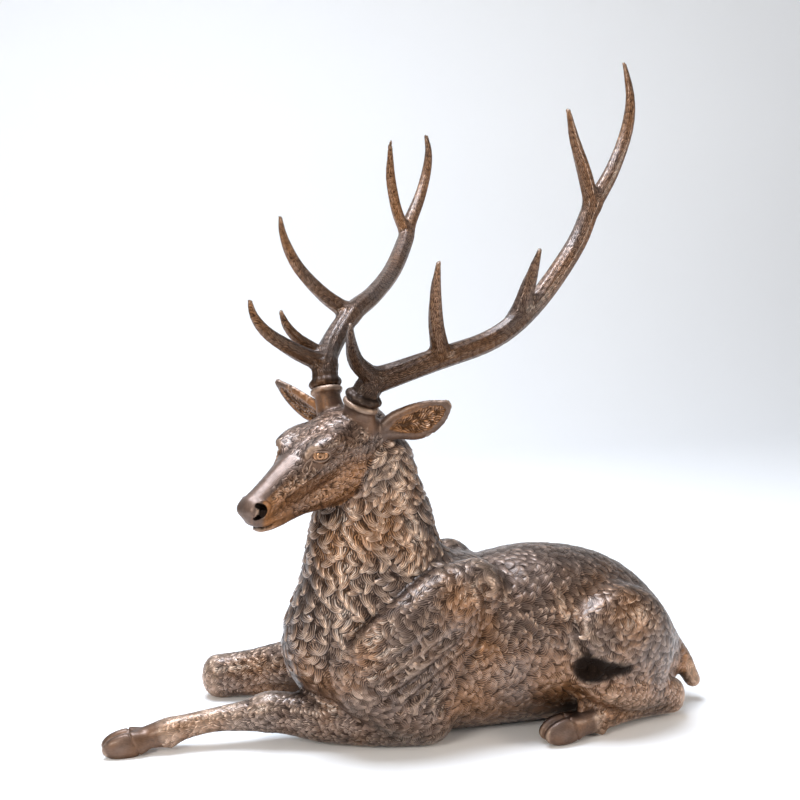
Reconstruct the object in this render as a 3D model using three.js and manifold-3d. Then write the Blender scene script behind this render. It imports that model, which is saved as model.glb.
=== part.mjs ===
// A life-size stag at rest, cast in bronze: the body is one casting, and each antler is a casting of its
// own that stands on a pedicle of the skull. Millimetres, +Z up. The stag looks towards -X with its head
// turned to its left, its left flank faces -Y, and it lies on the plane z = 0.
import * as THREE from "three";
import { mergeVertices } from "three/addons/utils/BufferGeometryUtils.js";
import Module from "manifold-3d";

// ---------------------------------------------------------------- driving dimensions
const BODY_STEP = 7; // mesh pitch of the body before it is thinned
const ANTLER_STEP = 6.5;
const BODY_TRIANGLES = 7500;
const ANTLER_TRIANGLES = 1150;
const HEAD_TURN = 36; // degrees, to the stag's left
const HEAD_DIP = 11; // degrees, nose down
const POLL = [-225, 22, 736]; // where the skull meets the neck
const SEAM = 0.4; // gap between an antler and its pedicle
const LOCK_WIDTH = 42; // a lock of the mane, across, along and how far it stands out
const LOCK_LENGTH = 40;
const LOCK_RISE = 7;
const FOLD_PITCH = 31; // the folds of hide on a shoulder
const FOLD_RISE = 4.5;

// ---------------------------------------------------------------- fields
// A solid is a field: a function of x, y, z that gives about the distance to its surface, negative inside.

// Catmull-Rom interpolation of equal-length rows of numbers at u from 0 to rows.length - 1.
function between(rows, u) {
  const i = Math.min(Math.floor(u), rows.length - 2);
  const t = u - i;
  const row = (k) => rows[Math.max(0, Math.min(rows.length - 1, k))];
  const [a, b, c, d] = [row(i - 1), row(i), row(i + 1), row(i + 2)];
  return b.map((_, k) => {
    const slopeIn = (c[k] - a[k]) / 2;
    const slopeOut = (d[k] - b[k]) / 2;
    const t2 = t * t;
    const t3 = t2 * t;
    const ends = (2 * t3 - 3 * t2 + 1) * b[k] + (3 * t2 - 2 * t3) * c[k];
    return ends + (t3 - 2 * t2 + t) * slopeIn + (t3 - t2) * slopeOut;
  });
}

const BLEND_REACH = 80; // beyond this no blend needs the true distance

// A limb with an oval section: stations are [x, y, z, half width, half depth]. The width lies along across.
function limb(stations, { across = [0, 1, 0], steps = 4 } = {}) {
  const rows = [];
  const count = (stations.length - 1) * steps;
  for (let k = 0; k <= count; k++) rows.push(between(stations, k / steps));
  const segments = [];
  const acrossVector = new THREE.Vector3(...across);
  for (let k = 0; k < count; k++) {
    const a = new THREE.Vector3(...rows[k]);
    const b = new THREE.Vector3(...rows[k + 1]);
    const along = b.clone().sub(a);
    const length = along.length();
    along.divideScalar(length);
    const side = acrossVector.clone().addScaledVector(along, -acrossVector.dot(along)).normalize();
    const deep = along.clone().cross(side);
    segments.push([
      a.x, a.y, a.z, along.x, along.y, along.z, length, side.x, side.y, side.z, deep.x, deep.y, deep.z,
      rows[k][3], rows[k + 1][3], rows[k][4], rows[k + 1][4],
    ]);
  }
  const box = new THREE.Box3();
  for (const r of rows) box.expandByPoint(new THREE.Vector3(...r));
  const reach = Math.max(...rows.map((r) => Math.max(r[3], r[4])));
  box.expandByScalar(reach);
  const centre = box.getCenter(new THREE.Vector3());
  const half = box.getSize(new THREE.Vector3()).multiplyScalar(0.5);
  return (x, y, z) => {
    // Far away, the distance to the box is enough.
    const far = Math.max(
      Math.abs(x - centre.x) - half.x,
      Math.abs(y - centre.y) - half.y,
      Math.abs(z - centre.z) - half.z,
    );
    if (far > BLEND_REACH) return far;
    let best = Infinity;
    for (const s of segments) {
      const px = x - s[0];
      const py = y - s[1];
      const pz = z - s[2];
      const run = px * s[3] + py * s[4] + pz * s[5];
      const t = Math.max(0, Math.min(1, run / s[6]));
      const width = s[13] + (s[14] - s[13]) * t;
      const depth = s[15] + (s[16] - s[15]) * t;
      const over = run - t * s[6];
      const cap = Math.min(width, depth);
      const u = over / cap;
      const v = (px * s[7] + py * s[8] + pz * s[9]) / width;
      const w = (px * s[10] + py * s[11] + pz * s[12]) / depth;
      const k0 = Math.hypot(u, v, w);
      const k1 = Math.hypot(u / cap, v / width, w / depth);
      const d = k1 < 1e-9 ? -cap : (k0 * (k0 - 1)) / k1;
      if (d < best) best = d;
    }
    return best;
  };
}

// An ellipsoid that reaches from one end to the other, with its half width along across.
function mass(from, to, halfWidth, halfDepth, across = [0, 1, 0]) {
  const a = new THREE.Vector3(...from);
  const b = new THREE.Vector3(...to);
  const c = a.clone().add(b).multiplyScalar(0.5);
  const e = b.clone().sub(a).normalize();
  const halfLength = a.distanceTo(b) / 2;
  const s = new THREE.Vector3(...across);
  s.addScaledVector(e, -s.dot(e)).normalize();
  const d = e.clone().cross(s);
  return (x, y, z) => {
    const px = x - c.x;
    const py = y - c.y;
    const pz = z - c.z;
    const u = (px * e.x + py * e.y + pz * e.z) / halfLength;
    const v = (px * s.x + py * s.y + pz * s.z) / halfWidth;
    const w = (px * d.x + py * d.y + pz * d.z) / halfDepth;
    const k0 = Math.hypot(u, v, w);
    const k1 = Math.hypot(u / halfLength, v / halfWidth, w / halfDepth);
    return k1 < 1e-9 ? -Math.min(halfLength, halfWidth, halfDepth) : (k0 * (k0 - 1)) / k1;
  };
}

// The smooth union of two distances, rounded over about blend millimetres.
function melt(a, b, blend) {
  const h = Math.max(blend - Math.abs(a - b), 0) / blend;
  return Math.min(a, b) - (h * h * blend) / 4;
}

// One field from [field, blend] pairs that are added in turn, and others that are taken away.
function fuse(added, removed = []) {
  return (x, y, z) => {
    let d = added[0][0](x, y, z);
    for (let k = 1; k < added.length; k++) d = melt(d, added[k][0](x, y, z), added[k][1]);
    for (const [field, blend] of removed) d = -melt(-d, field(x, y, z), blend);
    return d;
  };
}

// ---------------------------------------------------------------- meshing
// The six tetrahedra of a cube whose corners are numbered x + 2 y + 4 z.
const TETRAHEDRA = [
  [0, 5, 1, 7], [0, 1, 3, 7], [0, 3, 2, 7], [0, 2, 6, 7], [0, 6, 4, 7], [0, 4, 5, 7],
];
const COARSE = 4; // grid steps in a block that is looked at whole first
const NEAR_BLOCK = 1.6; // a block this many of its sides away from the surface holds none of it
const CLEARANCE = 0.03; // grid points keep this share of a step off the surface, so no triangle has no area

// The field's zero surface as a closed mesh of points and triangles, by marching tetrahedra.
function surface(field, box, step) {
  const size = box.getSize(new THREE.Vector3());
  const [nx, ny, nz] = [size.x, size.y, size.z].map((s) => Math.ceil(s / step / COARSE) * COARSE + 1);
  const values = new Float32Array(nx * ny * nz);
  const at = (i, j, k) => i + nx * (j + ny * k);
  const place = (i, j, k) => [box.min.x + i * step, box.min.y + j * step, box.min.z + k * step];
  const blockReach = COARSE * step * NEAR_BLOCK;
  const least = step * CLEARANCE;
  values.fill(NaN);
  for (let k = 0; k < nz; k += COARSE)
    for (let j = 0; j < ny; j += COARSE)
      for (let i = 0; i < nx; i += COARSE) {
        const mid = COARSE / 2;
        const rough = field(...place(i + mid, j + mid, k + mid));
        const near = Math.abs(rough) < blockReach;
        for (let c = k; c < Math.min(k + COARSE, nz); c++)
          for (let b = j; b < Math.min(j + COARSE, ny); b++)
            for (let a = i; a < Math.min(i + COARSE, nx); a++) {
              const d = near ? field(...place(a, b, c)) : rough;
              values[at(a, b, c)] = Math.abs(d) < least ? Math.sign(d || 1) * least : d;
            }
      }
  const points = [];
  const triangles = [];
  const cut = new Map();
  const crossing = (p, q) => {
    const [a, b] = p < q ? [p, q] : [q, p];
    const key = a * values.length + b;
    let id = cut.get(key);
    if (id === undefined) {
      const t = values[a] / (values[a] - values[b]);
      const spot = (n) => place(n % nx, Math.floor(n / nx) % ny, Math.floor(n / (nx * ny)));
      const [pa, pb] = [spot(a), spot(b)];
      id = points.length;
      points.push(pa.map((v, m) => v + (pb[m] - v) * t));
      cut.set(key, id);
    }
    return id;
  };
  for (let k = 0; k < nz - 1; k++)
    for (let j = 0; j < ny - 1; j++)
      for (let i = 0; i < nx - 1; i++) {
        const corner = [];
        let inside = 0;
        for (let c = 0; c < 8; c++) {
          const n = at(i + (c & 1), j + ((c >> 1) & 1), k + (c >> 2));
          corner.push(n);
          if (values[n] < 0) inside++;
        }
        if (inside === 0 || inside === 8) continue;
        for (const tet of TETRAHEDRA) {
          const [p, q] = [[], []];
          for (const c of tet) (values[corner[c]] < 0 ? p : q).push(corner[c]);
          if (!p.length || !q.length) continue;
          // Even or odd order of the tetrahedron's corners decides which way the face turns.
          const order = tet.map((c) => corner[c]);
          const sequence = [...p, ...q].map((n) => order.indexOf(n));
          let swaps = 0;
          for (let a = 0; a < 4; a++) for (let b = a + 1; b < 4; b++) if (sequence[a] > sequence[b]) swaps++;
          const flip = swaps % 2 === 1;
          const add = (a, b, c) => triangles.push(flip ? [a, c, b] : [a, b, c]);
          if (p.length === 1) add(...q.map((n) => crossing(p[0], n)));
          else if (q.length === 1) add(...p.map((n) => crossing(n, q[0])));
          else {
            const [a, b] = [crossing(p[0], q[0]), crossing(p[0], q[1])];
            const [c, d] = [crossing(p[1], q[1]), crossing(p[1], q[0])];
            add(a, b, c);
            add(a, c, d);
          }
        }
      }
  return { points, triangles };
}

// A binary heap of [cost, ...] entries, the cheapest first.
class Heap {
  constructor() {
    this.items = [];
  }
  push(item) {
    const a = this.items;
    let i = a.length;
    a.push(item);
    while (i > 0) {
      const up = (i - 1) >> 1;
      if (a[up][0] <= item[0]) break;
      a[i] = a[up];
      i = up;
    }
    a[i] = item;
  }
  pop() {
    const a = this.items;
    const top = a[0];
    const last = a.pop();
    if (a.length) {
      let i = 0;
      for (;;) {
        let down = 2 * i + 1;
        if (down >= a.length) break;
        if (down + 1 < a.length && a[down + 1][0] < a[down][0]) down++;
        if (a[down][0] >= last[0]) break;
        a[i] = a[down];
        i = down;
      }
      a[i] = last;
    }
    return top;
  }
}

const SLIVER = 0.003; // a little cost for length keeps triangles compact
const LEAST_TURN = 0.25; // cosine of the most that a collapse may turn a triangle

// Collapses edges in order of quadric error until about target triangles are left. weight(point) says
// how much a place's form matters, so that small features keep more of the triangles.
function thin({ points, triangles }, target, weight = () => 1) {
  const at = points.map((p) => new THREE.Vector3(...p));
  const faces = triangles.map((t) => t.slice());
  const around = at.map(() => new Set());
  faces.forEach((f, n) => f.forEach((v) => around[v].add(n)));
  const quadric = at.map(() => new Float64Array(10));
  const [e1, e2] = [new THREE.Vector3(), new THREE.Vector3()];
  const normalOf = (a, b, c, out) => out.copy(e1.copy(b).sub(a)).cross(e2.copy(c).sub(a));
  const n = new THREE.Vector3();
  for (const f of faces) {
    const [a, b, c] = f.map((v) => at[v]);
    normalOf(a, b, c, n);
    const area = n.length() / 2;
    if (area < 1e-9) continue;
    n.normalize();
    const d = -n.dot(a);
    const w = area * weight(a);
    const plane = [n.x, n.y, n.z, d];
    for (const v of f) {
      let m = 0;
      for (let i = 0; i < 4; i++) for (let j = i; j < 4; j++) quadric[v][m++] += w * plane[i] * plane[j];
    }
  }
  const errorAt = (q, p) =>
    q[0] * p.x * p.x + 2 * q[1] * p.x * p.y + 2 * q[2] * p.x * p.z + 2 * q[3] * p.x +
    q[4] * p.y * p.y + 2 * q[5] * p.y * p.z + 2 * q[6] * p.y +
    q[7] * p.z * p.z + 2 * q[8] * p.z + q[9];
  const version = new Uint32Array(at.length);
  const heap = new Heap();
  const matrix = new THREE.Matrix3();
  const offer = (a, b) => {
    const q = quadric[a].map((x, i) => x + quadric[b][i]);
    matrix.set(q[0], q[1], q[2], q[1], q[4], q[5], q[2], q[5], q[7]);
    const middle = at[a].clone().add(at[b]).multiplyScalar(0.5);
    const gap = at[a].distanceTo(at[b]);
    let best = null;
    let cost = Infinity;
    const options = [middle, at[a].clone(), at[b].clone()];
    const size = q[0] + q[4] + q[7];
    if (Math.abs(matrix.determinant()) > 1e-6 * size * size * size) {
      const ideal = new THREE.Vector3(-q[3], -q[6], -q[8]).applyMatrix3(matrix.invert());
      if (ideal.distanceTo(middle) < gap * 1.5) options.unshift(ideal);
    }
    for (const p of options) {
      const c = errorAt(q, p);
      if (c < cost - 1e-12) [best, cost] = [p, c];
    }
    heap.push([cost + SLIVER * gap * gap, a, b, version[a], version[b], best]);
  };
  const neighbours = (v) => {
    const found = new Set();
    for (const f of around[v]) for (const w of faces[f]) if (w !== v) found.add(w);
    return found;
  };
  at.forEach((_, v) => {
    for (const w of neighbours(v)) if (w > v) offer(v, w);
  });
  let left = faces.length;
  const [before, after] = [new THREE.Vector3(), new THREE.Vector3()];
  while (left > target && heap.items.length) {
    const [, a, b, va, vb, spot] = heap.pop();
    if (version[a] !== va || version[b] !== vb || !around[a].size || !around[b].size) continue;
    const [na, nb] = [neighbours(a), neighbours(b)];
    let shared = 0;
    for (const v of na) if (nb.has(v)) shared++;
    if (shared !== 2) continue;
    let sound = true;
    for (const v of [a, b])
      for (const f of around[v]) {
        if (faces[f].includes(a) && faces[f].includes(b)) continue;
        normalOf(...faces[f].map((w) => at[w]), before);
        normalOf(...faces[f].map((w) => (w === v ? spot : at[w])), after);
        if (before.dot(after) < LEAST_TURN * before.length() * after.length()) sound = false;
      }
    if (!sound) continue;
    for (const f of [...around[b]]) {
      if (faces[f].includes(a)) {
        for (const v of faces[f]) around[v].delete(f);
        faces[f] = null;
        left--;
      } else {
        faces[f][faces[f].indexOf(b)] = a;
        around[a].add(f);
      }
    }
    around[b].clear();
    at[a] = spot;
    quadric[a] = quadric[a].map((x, i) => x + quadric[b][i]);
    version[a]++;
    for (const v of neighbours(a)) offer(a, v);
  }
  const kept = faces.filter(Boolean);
  const id = new Map();
  const positions = [];
  const index = kept.flat().map((v) => {
    if (!id.has(v)) {
      id.set(v, id.size);
      positions.push(at[v].x, at[v].y, at[v].z);
    }
    return id.get(v);
  });
  return new THREE.BufferGeometry()
    .setAttribute("position", new THREE.Float32BufferAttribute(positions, 3))
    .setIndex(index);
}

// ---------------------------------------------------------------- relief
const smooth = (t) => {
  const c = Math.max(0, Math.min(1, t));
  return c * c * (3 - 2 * c);
};

// A field whose surface is raised by relief(x, y, z) millimetres.
const RELIEF_REACH = 30;
const dressed = (field, relief) => (x, y, z) => {
  const d = field(x, y, z);
  return Math.abs(d) > RELIEF_REACH ? d : d - relief(x, y, z);
};

// Overlapping pointed locks on a grid of unit cells that grow along +b: 0 at a root, 1 at a free tip.
const TIP = 0.55;
function lock(a, b) {
  const share = (row) => {
    const shifted = a + (row % 2 === 0 ? 0 : 0.5);
    return Math.abs(shifted - Math.floor(shifted) - 0.5) * 2;
  };
  const row = Math.floor(b);
  const above = share(row - 1);
  const hangs = b - row < TIP * (1 - above * above);
  const aside = hangs ? above : share(row);
  const along = (b - row + (hangs ? 1 : 0)) / (1 + TIP);
  return (0.15 + 0.85 * along) * (1 - 0.7 * aside * aside * aside);
}

// The mane hangs round the neck in rows that climb towards the nape.
const MANE_CLIMB = 0.6;
function mane(x, y, z) {
  const round = Math.abs(Math.atan2(y - 8, -200 - x)) * 130;
  const fade = smooth((z - 190) / 60) * smooth((690 - z) / 40);
  return LOCK_RISE * fade * (lock(round / LOCK_WIDTH, (700 - z + MANE_CLIMB * round) / LOCK_LENGTH) - 0.3);
}

// Slanting folds where the shoulder's hide is drawn up by the bent foreleg.
const FOLD_SLOPE = THREE.MathUtils.degToRad(31);
function folds(x, y, z) {
  const across = (z * Math.cos(FOLD_SLOPE) - x * Math.sin(FOLD_SLOPE)) / FOLD_PITCH;
  const ridge = 0.5 - 0.5 * Math.cos(2 * Math.PI * across);
  const fade = smooth(1.7 - 1.7 * Math.hypot((x + 115) / 220, (z - 205) / 150));
  return FOLD_RISE * fade * (ridge - 0.5);
}

// ---------------------------------------------------------------- trunk and neck
// Every row of a limb is [x, y, z, half width, half depth], from its root to its tip.
const trunk = limb([
  [-300, 0, 235, 120, 145],
  [-200, 0, 225, 165, 200],
  [-40, 0, 215, 185, 222],
  [60, 0, 205, 192, 212],
  [200, 0, 215, 192, 222],
  [320, 0, 205, 178, 208],
  [410, 0, 172, 150, 172],
  [475, 0, 140, 120, 132],
  [540, 0, 105, 78, 70],
]);
const neck = limb([
  [-215, 0, 250, 165, 178],
  [-205, 0, 380, 140, 172],
  [-202, 5, 490, 115, 155],
  [-202, 12, 585, 96, 124],
  [-196, 20, 670, 80, 94],
]);
const tail = limb([
  [540, 0, 190, 40, 40],
  [605, -15, 120, 34, 28],
  [640, -30, 55, 24, 20],
]);

// ---------------------------------------------------------------- head
// The head has axes of its own: u towards the nose, v to the stag's left, w up through the crown.
const turn = THREE.MathUtils.degToRad(HEAD_TURN);
const dip = THREE.MathUtils.degToRad(HEAD_DIP);
const headAxes = new THREE.Matrix4().makeBasis(
  new THREE.Vector3(-Math.cos(dip) * Math.cos(turn), -Math.cos(dip) * Math.sin(turn), -Math.sin(dip)),
  new THREE.Vector3(Math.sin(turn), -Math.cos(turn), 0),
  new THREE.Vector3(-Math.sin(dip) * Math.cos(turn), -Math.sin(dip) * Math.sin(turn), Math.cos(dip)),
);
const headPlace = headAxes.clone().setPosition(...POLL);
const onHead = (u, v, w) => new THREE.Vector3(u, v, w).applyMatrix4(headPlace).toArray();
const headWay = (u, v, w) => new THREE.Vector3(u, v, w).transformDirection(headAxes).toArray();
const LEFT = [0, 1, 0];
const headLimb = (rows, across = LEFT) => {
  const stations = rows.map(([u, v, w, width, depth = width]) => [...onHead(u, v, w), width, depth]);
  return limb(stations, { across: headWay(...across) });
};
const headMass = (from, to, halfWidth, halfDepth, across = LEFT) =>
  mass(onHead(...from), onHead(...to), halfWidth, halfDepth, headWay(...across));

const skull = headLimb([
  [0, 0, 0, 74, 70],
  [80, 0, 14, 80, 68],
  [150, 0, 8, 78, 62],
  [215, 0, -8, 58, 53],
  [290, 0, -25, 42, 43],
  [340, 0, -36, 36, 37],
  [379, 0, -43, 34, 32],
]);
const jaw = headLimb([
  [70, 0, -78, 48, 50],
  [150, 0, -88, 42, 40],
  [240, 0, -84, 30, 28],
  [310, 0, -86, 26, 24],
  [350, 0, -88, 25, 18],
]);
const headAdded = [[skull, 20], [jaw, 30]];
const headRemoved = [];
const eyes = [];
// Each ear is a leaf with a hollow front. The right one is pricked further forward and up.
const EARS = [
  { s: 1, swing: 0, lift: 0, faces: [0.8, 0.6, 0] },
  { s: -1, swing: 122, lift: 48, faces: [0.94, -0.1, -0.3] },
];
for (const { s, swing, lift, faces } of EARS) {
  const onEar = (t, v, rise, ...sizes) => {
    const u = 12 - 107 * t + swing * t;
    return [u, s * (v + 0.22 * swing * t), 14 + rise + lift * t, ...sizes];
  };
  const ear = headLimb([
    onEar(0, 64, 0, 17, 20),
    onEar(0.3, 98, 12, 15, 36),
    onEar(0.55, 138, 17, 13, 45),
    onEar(0.8, 176, 35, 11, 34),
    onEar(1, 203, 54, 7, 8),
  ], faces);
  const before = (point, run) => point.map((c, k) => c + run * faces[k]);
  const bowl = headMass(before(onEar(0.2, 104, 12), 18), before(onEar(0.9, 190, 42), 12), 13, 28, faces);
  headAdded.push([headMass([25, s * 45, -50], [165, s * 42, -60], 36, 52), 30]); // cheek
  headAdded.push([headMass([112, s * 72, 54], [220, s * 62, 32], 22, 18), 18]); // brow
  headAdded.push([ear, 14]);
  headRemoved.push([headMass([162, s * 78, 24], [224, s * 66, 15], 15, 13), 10]); // eye socket
  headRemoved.push([bowl, 5]);
  headRemoved.push([headMass([378, s * 32, -38], [406, s * 24, -46], 9, 8), 5]); // nostril
  eyes.push([headMass([175, s * 61, 23], [211, s * 57, 18], 15, 14), 4]);
}

// The mouth is a groove along the side of the muzzle, from under the nostrils back to the cheek.
const [headU, , headW] = [0, 1, 2].map((k) => new THREE.Vector3().setFromMatrixColumn(headAxes, k));
const MOUTH = { front: 398, corner: 302, height: -66, fall: 0.19, half: 6, depth: 5 };
function mouth(x, y, z) {
  const [dx, dy, dz] = [x - POLL[0], y - POLL[1], z - POLL[2]];
  const u = dx * headU.x + dy * headU.y + dz * headU.z;
  const w = dx * headW.x + dy * headW.y + dz * headW.z;
  const off = (w - MOUTH.height + MOUTH.fall * (MOUTH.front - u)) / MOUTH.half;
  return Math.abs(off) > 3 ? 0 : -MOUTH.depth * smooth((u - MOUTH.corner) / 20) * Math.exp(-off * off);
}
const head = fuse([[dressed(fuse(headAdded, headRemoved), mouth), 1], ...eyes]);

// ---------------------------------------------------------------- pedicles and antlers
// A seat is the plane where an antler meets its pedicle: a point on the head and the antler's first way.
const SEATS = {
  left: { s: 1, at: [42, 54, 100], way: [-0.3, 0.35, 0.89], collar: 44 },
  right: { s: -1, at: [32, -64, 119], way: [-0.35, -0.35, 0.87], collar: 39 },
};
const alongSeat = ({ at, way }, run) => at.map((c, k) => c + run * way[k]);
const ring = (seat, run) => {
  const [low, high] = [alongSeat(seat, run - 11), alongSeat(seat, run + 11)];
  return headMass(low, high, seat.collar, seat.collar);
};
const pedicle = (seat) => fuse([
  [headLimb([
    [44, seat.s * 44, 38, 38],
    [...alongSeat(seat, -20), seat.collar - 9],
    [...alongSeat(seat, 10), 32],
  ]), 1],
  [ring(seat, -8), 6],
]);

// A beam or a tine of rows [u, v, w, radius], grown from the antler's foot.
const tine = (rows) => headLimb(rows, [0.3, 1, 0.2]);
const leftAntler = fuse([
  [tine([
    [...alongSeat(SEATS.left, -20), 33],
    [22, 70, 138, 31],
    [-20, 92, 146, 29],
    [-145, 142, 154, 26],
    [-270, 190, 161, 25],
    [-355, 225, 189, 25],
    [-450, 257, 248, 25],
    [-560, 286, 338, 23.5],
    [-625, 300, 418, 22],
    [-700, 318, 490, 18.5],
    [-770, 330, 585, 15.5],
    [-800, 328, 665, 11],
    [-810, 310, 752, 4],
  ]), 1],
  [tine([[10, 78, 145, 24], [75, 86, 206, 18.5], [122, 118, 270, 12], [155, 155, 330, 4]]), 14],
  [tine([[-155, 145, 165, 23], [-128, 162, 240, 18], [-105, 190, 330, 12.5], [-93, 220, 412, 4]]), 14],
  [tine([[-365, 225, 200, 22], [-390, 250, 275, 17], [-405, 285, 368, 4]]), 14],
  [tine([[-625, 300, 420, 20], [-618, 290, 505, 17], [-602, 280, 585, 12.5], [-588, 275, 675, 4]]), 14],
  [ring(SEATS.left, 10), 6],
]);
const rightAntler = fuse([
  [tine([
    [...alongSeat(SEATS.right, -20), 32],
    [14, -76, 158, 30],
    [-55, -115, 188, 27],
    [-180, -145, 236, 26],
    [-295, -168, 252, 23.5],
    [-455, -228, 275, 23],
    [-580, -275, 325, 22],
    [-625, -290, 362, 19],
    [-685, -293, 420, 16],
    [-735, -296, 485, 13],
    [-757, -298, 540, 9.5],
    [-762, -305, 590, 4],
  ]), 1],
  [tine([
    [0, -80, 165, 22],
    [58, -108, 208, 19],
    [115, -137, 266, 15],
    [140, -155, 318, 10],
    [142, -158, 362, 4],
  ]), 14],
  [tine([[-20, -100, 178, 16], [24, -137, 230, 13], [53, -144, 275, 9.5], [68, -140, 317, 4]]), 12],
  [tine([
    [-180, -145, 236, 22],
    [-138, -186, 292, 18],
    [-103, -226, 368, 15],
    [-88, -247, 445, 10.5],
    [-90, -252, 503, 4],
  ]), 14],
  [tine([[-600, -288, 350, 16], [-586, -297, 410, 14.5], [-572, -292, 500, 12.5], [-568, -274, 603, 4]]), 10],
  [ring(SEATS.right, 10), 6],
]);

// ---------------------------------------------------------------- legs
// s is -1 for the left side, which faces -Y, and 1 for the right.
const shoulder = (s, top) => limb([
  [25, s * 108, top, 62, 72],
  [-75, s * 130, top - 52, 78, 108],
  [-185, s * 138, top - 128, 84, 118],
  [-262, s * 120, top - 188, 76, 95],
]);
const upperArm = (s) => limb([
  [-240, s * 130, 175, 72, 88],
  [-165, s * 138, 125, 72, 88],
  [-100, s * 128, 82, 62, 75],
]);
const leftForeleg = limb([
  [-95, -112, 64, 58, 66],
  [-190, -102, 64, 60, 65],
  [-327, -62, 64, 52, 58],
  [-420, -34, 76, 45, 50],
  [-468, -24, 80, 44, 49],
  [-512, -18, 74, 34, 38],
  [-590, -8, 68, 26, 29],
  [-660, -2, 56, 27, 29],
  [-702, 0, 46, 32, 34],
  [-745, 2, 38, 27, 28],
  [-775, 2, 34, 25, 24],
]);
const rightForeleg = limb([
  [-230, 175, 130, 62, 66],
  [-300, 215, 110, 60, 64],
  [-380, 255, 90, 54, 60],
  [-460, 285, 72, 47, 53],
  [-540, 308, 56, 45, 57],
]);
const rightCannon = limb([
  [-545, 308, 44, 36, 40],
  [-440, 272, 34, 27, 29],
  [-360, 245, 32, 29, 30],
  [-325, 236, 32, 26, 26],
]);
const haunch = (s, drop) => fuse([
  [mass([530, s * 120, 185 - drop], [225, s * 172, 222 - drop], 80, 160 - drop), 1],
  [mass([465, s * 112, 322 - drop], [232, s * 185, 165 - drop], 72, 100), 40],
]);
const shank = (s) => limb([
  [270, s * 195, 158, 55, 72],
  [395, s * 175, 112, 50, 58],
  [480, s * 142, 84, 36, 44],
  [534, s * 118, 62, 33, 40],
]);
const hindCannon = (s) => limb([
  [540, s * 114, 48, 32, 40],
  [470, s * 132, 44, 27, 30],
  [400, s * 152, 42, 25, 27],
  [325, s * 174, 42, 28, 31],
  [282, s * 185, 42, 31, 33],
  [252, s * 192, 40, 27, 28],
]);

// A cloven hoof: two claws side by side, with a cleft between them and two small dewclaws behind.
function hoof(from, to, dewclaw, halfWidth, halfDepth) {
  const way = new THREE.Vector3(...to).sub(new THREE.Vector3(...from)).normalize();
  const across = new THREE.Vector3(0, 0, 1).cross(way).normalize();
  const beside = (p, run) => new THREE.Vector3(...p).addScaledVector(across, run).toArray();
  const claws = [-1, 1].map((c) => {
    const [heel, toe] = [beside(from, c * halfWidth * 0.48), beside(to, c * halfWidth * 0.42)];
    return mass(heel, toe, halfWidth * 0.56, halfDepth, across.toArray());
  });
  const buds = [-1, 1].map((c) => {
    const root = beside(dewclaw, c * halfWidth * 0.45);
    const tip = new THREE.Vector3(...root).addScaledVector(way, 24);
    tip.z -= 9;
    return mass(root, tip.toArray(), 9, 10, across.toArray());
  });
  return fuse([[claws[0], 1], [claws[1], 4], [buds[0], 4], [buds[1], 4]]);
}
const hooves = [
  hoof([-742, 2, 34], [-858, 2, 20], [-686, 0, 28], 33, 31),
  hoof([-340, 240, 32], [-235, 205, 26], [-388, 254, 14], 30, 29),
  ...[-1, 1].map((s) => hoof([275, s * 186, 38], [160, s * 206, 27], [330, s * 172, 18], 34, 33)),
];

// ---------------------------------------------------------------- castings
const bodyField = fuse([
  [trunk, 1],
  [dressed(neck, mane), 60],
  [head, 22],
  [pedicle(SEATS.left), 12],
  [pedicle(SEATS.right), 12],
  [dressed(shoulder(-1, 375), folds), 24],
  [dressed(upperArm(-1), folds), 24],
  [dressed(shoulder(1, 366), folds), 24],
  [dressed(upperArm(1), folds), 24],
  [leftForeleg, 16],
  [rightForeleg, 18],
  [rightCannon, 12],
  ...[[-1, 8], [1, 38]].flatMap(([s, drop]) => [[haunch(s, drop), 26], [shank(s), 18], [hindCannon(s), 14]]),
  ...hooves.map((claws) => [claws, 7]),
  [tail, 15],
]);

const wasm = await Module();
wasm.setup();
function solid(geometry) {
  const bare = geometry.clone();
  bare.deleteAttribute("normal");
  bare.deleteAttribute("uv");
  const merged = mergeVertices(bare);
  return new wasm.Manifold(new wasm.Mesh({
    numProp: 3,
    vertProperties: new Float32Array(merged.attributes.position.array),
    triVerts: new Uint32Array(merged.index.array),
  }));
}
function geometryOf(manifold) {
  const { vertProperties, triVerts } = manifold.getMesh();
  return new THREE.BufferGeometry()
    .setAttribute("position", new THREE.BufferAttribute(vertProperties, 3))
    .setIndex(new THREE.BufferAttribute(triVerts, 1));
}

// A block that covers one side of a seat's plane: above it, or below where side is -1.
const BLOCK = 120;
function seatBlock(seat, side) {
  const up = new THREE.Vector3(...headWay(...seat.way));
  const centre = new THREE.Vector3(...onHead(...seat.at)).addScaledVector(up, side * (BLOCK / 4 - SEAM / 2));
  return solid(new THREE.BoxGeometry(BLOCK, BLOCK, BLOCK / 2)
    .applyQuaternion(new THREE.Quaternion().setFromUnitVectors(new THREE.Vector3(0, 0, 1), up))
    .translate(...centre));
}
const ground = solid(new THREE.BoxGeometry(2000, 1200, 100).translate(0, 0, -50));

// The head, the feet and the mane need more triangles than the broad flanks.
const headCentre = new THREE.Vector3(...onHead(180, 0, -10));
function bodyWeight(p) {
  const care = 7 * smooth((330 - p.distanceTo(headCentre)) / 120);
  const feet = p.x < -560 || (p.z < 75 && p.x > 120 && p.x < 360) ? 3 : 0;
  return 1 + care + feet;
}

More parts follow.
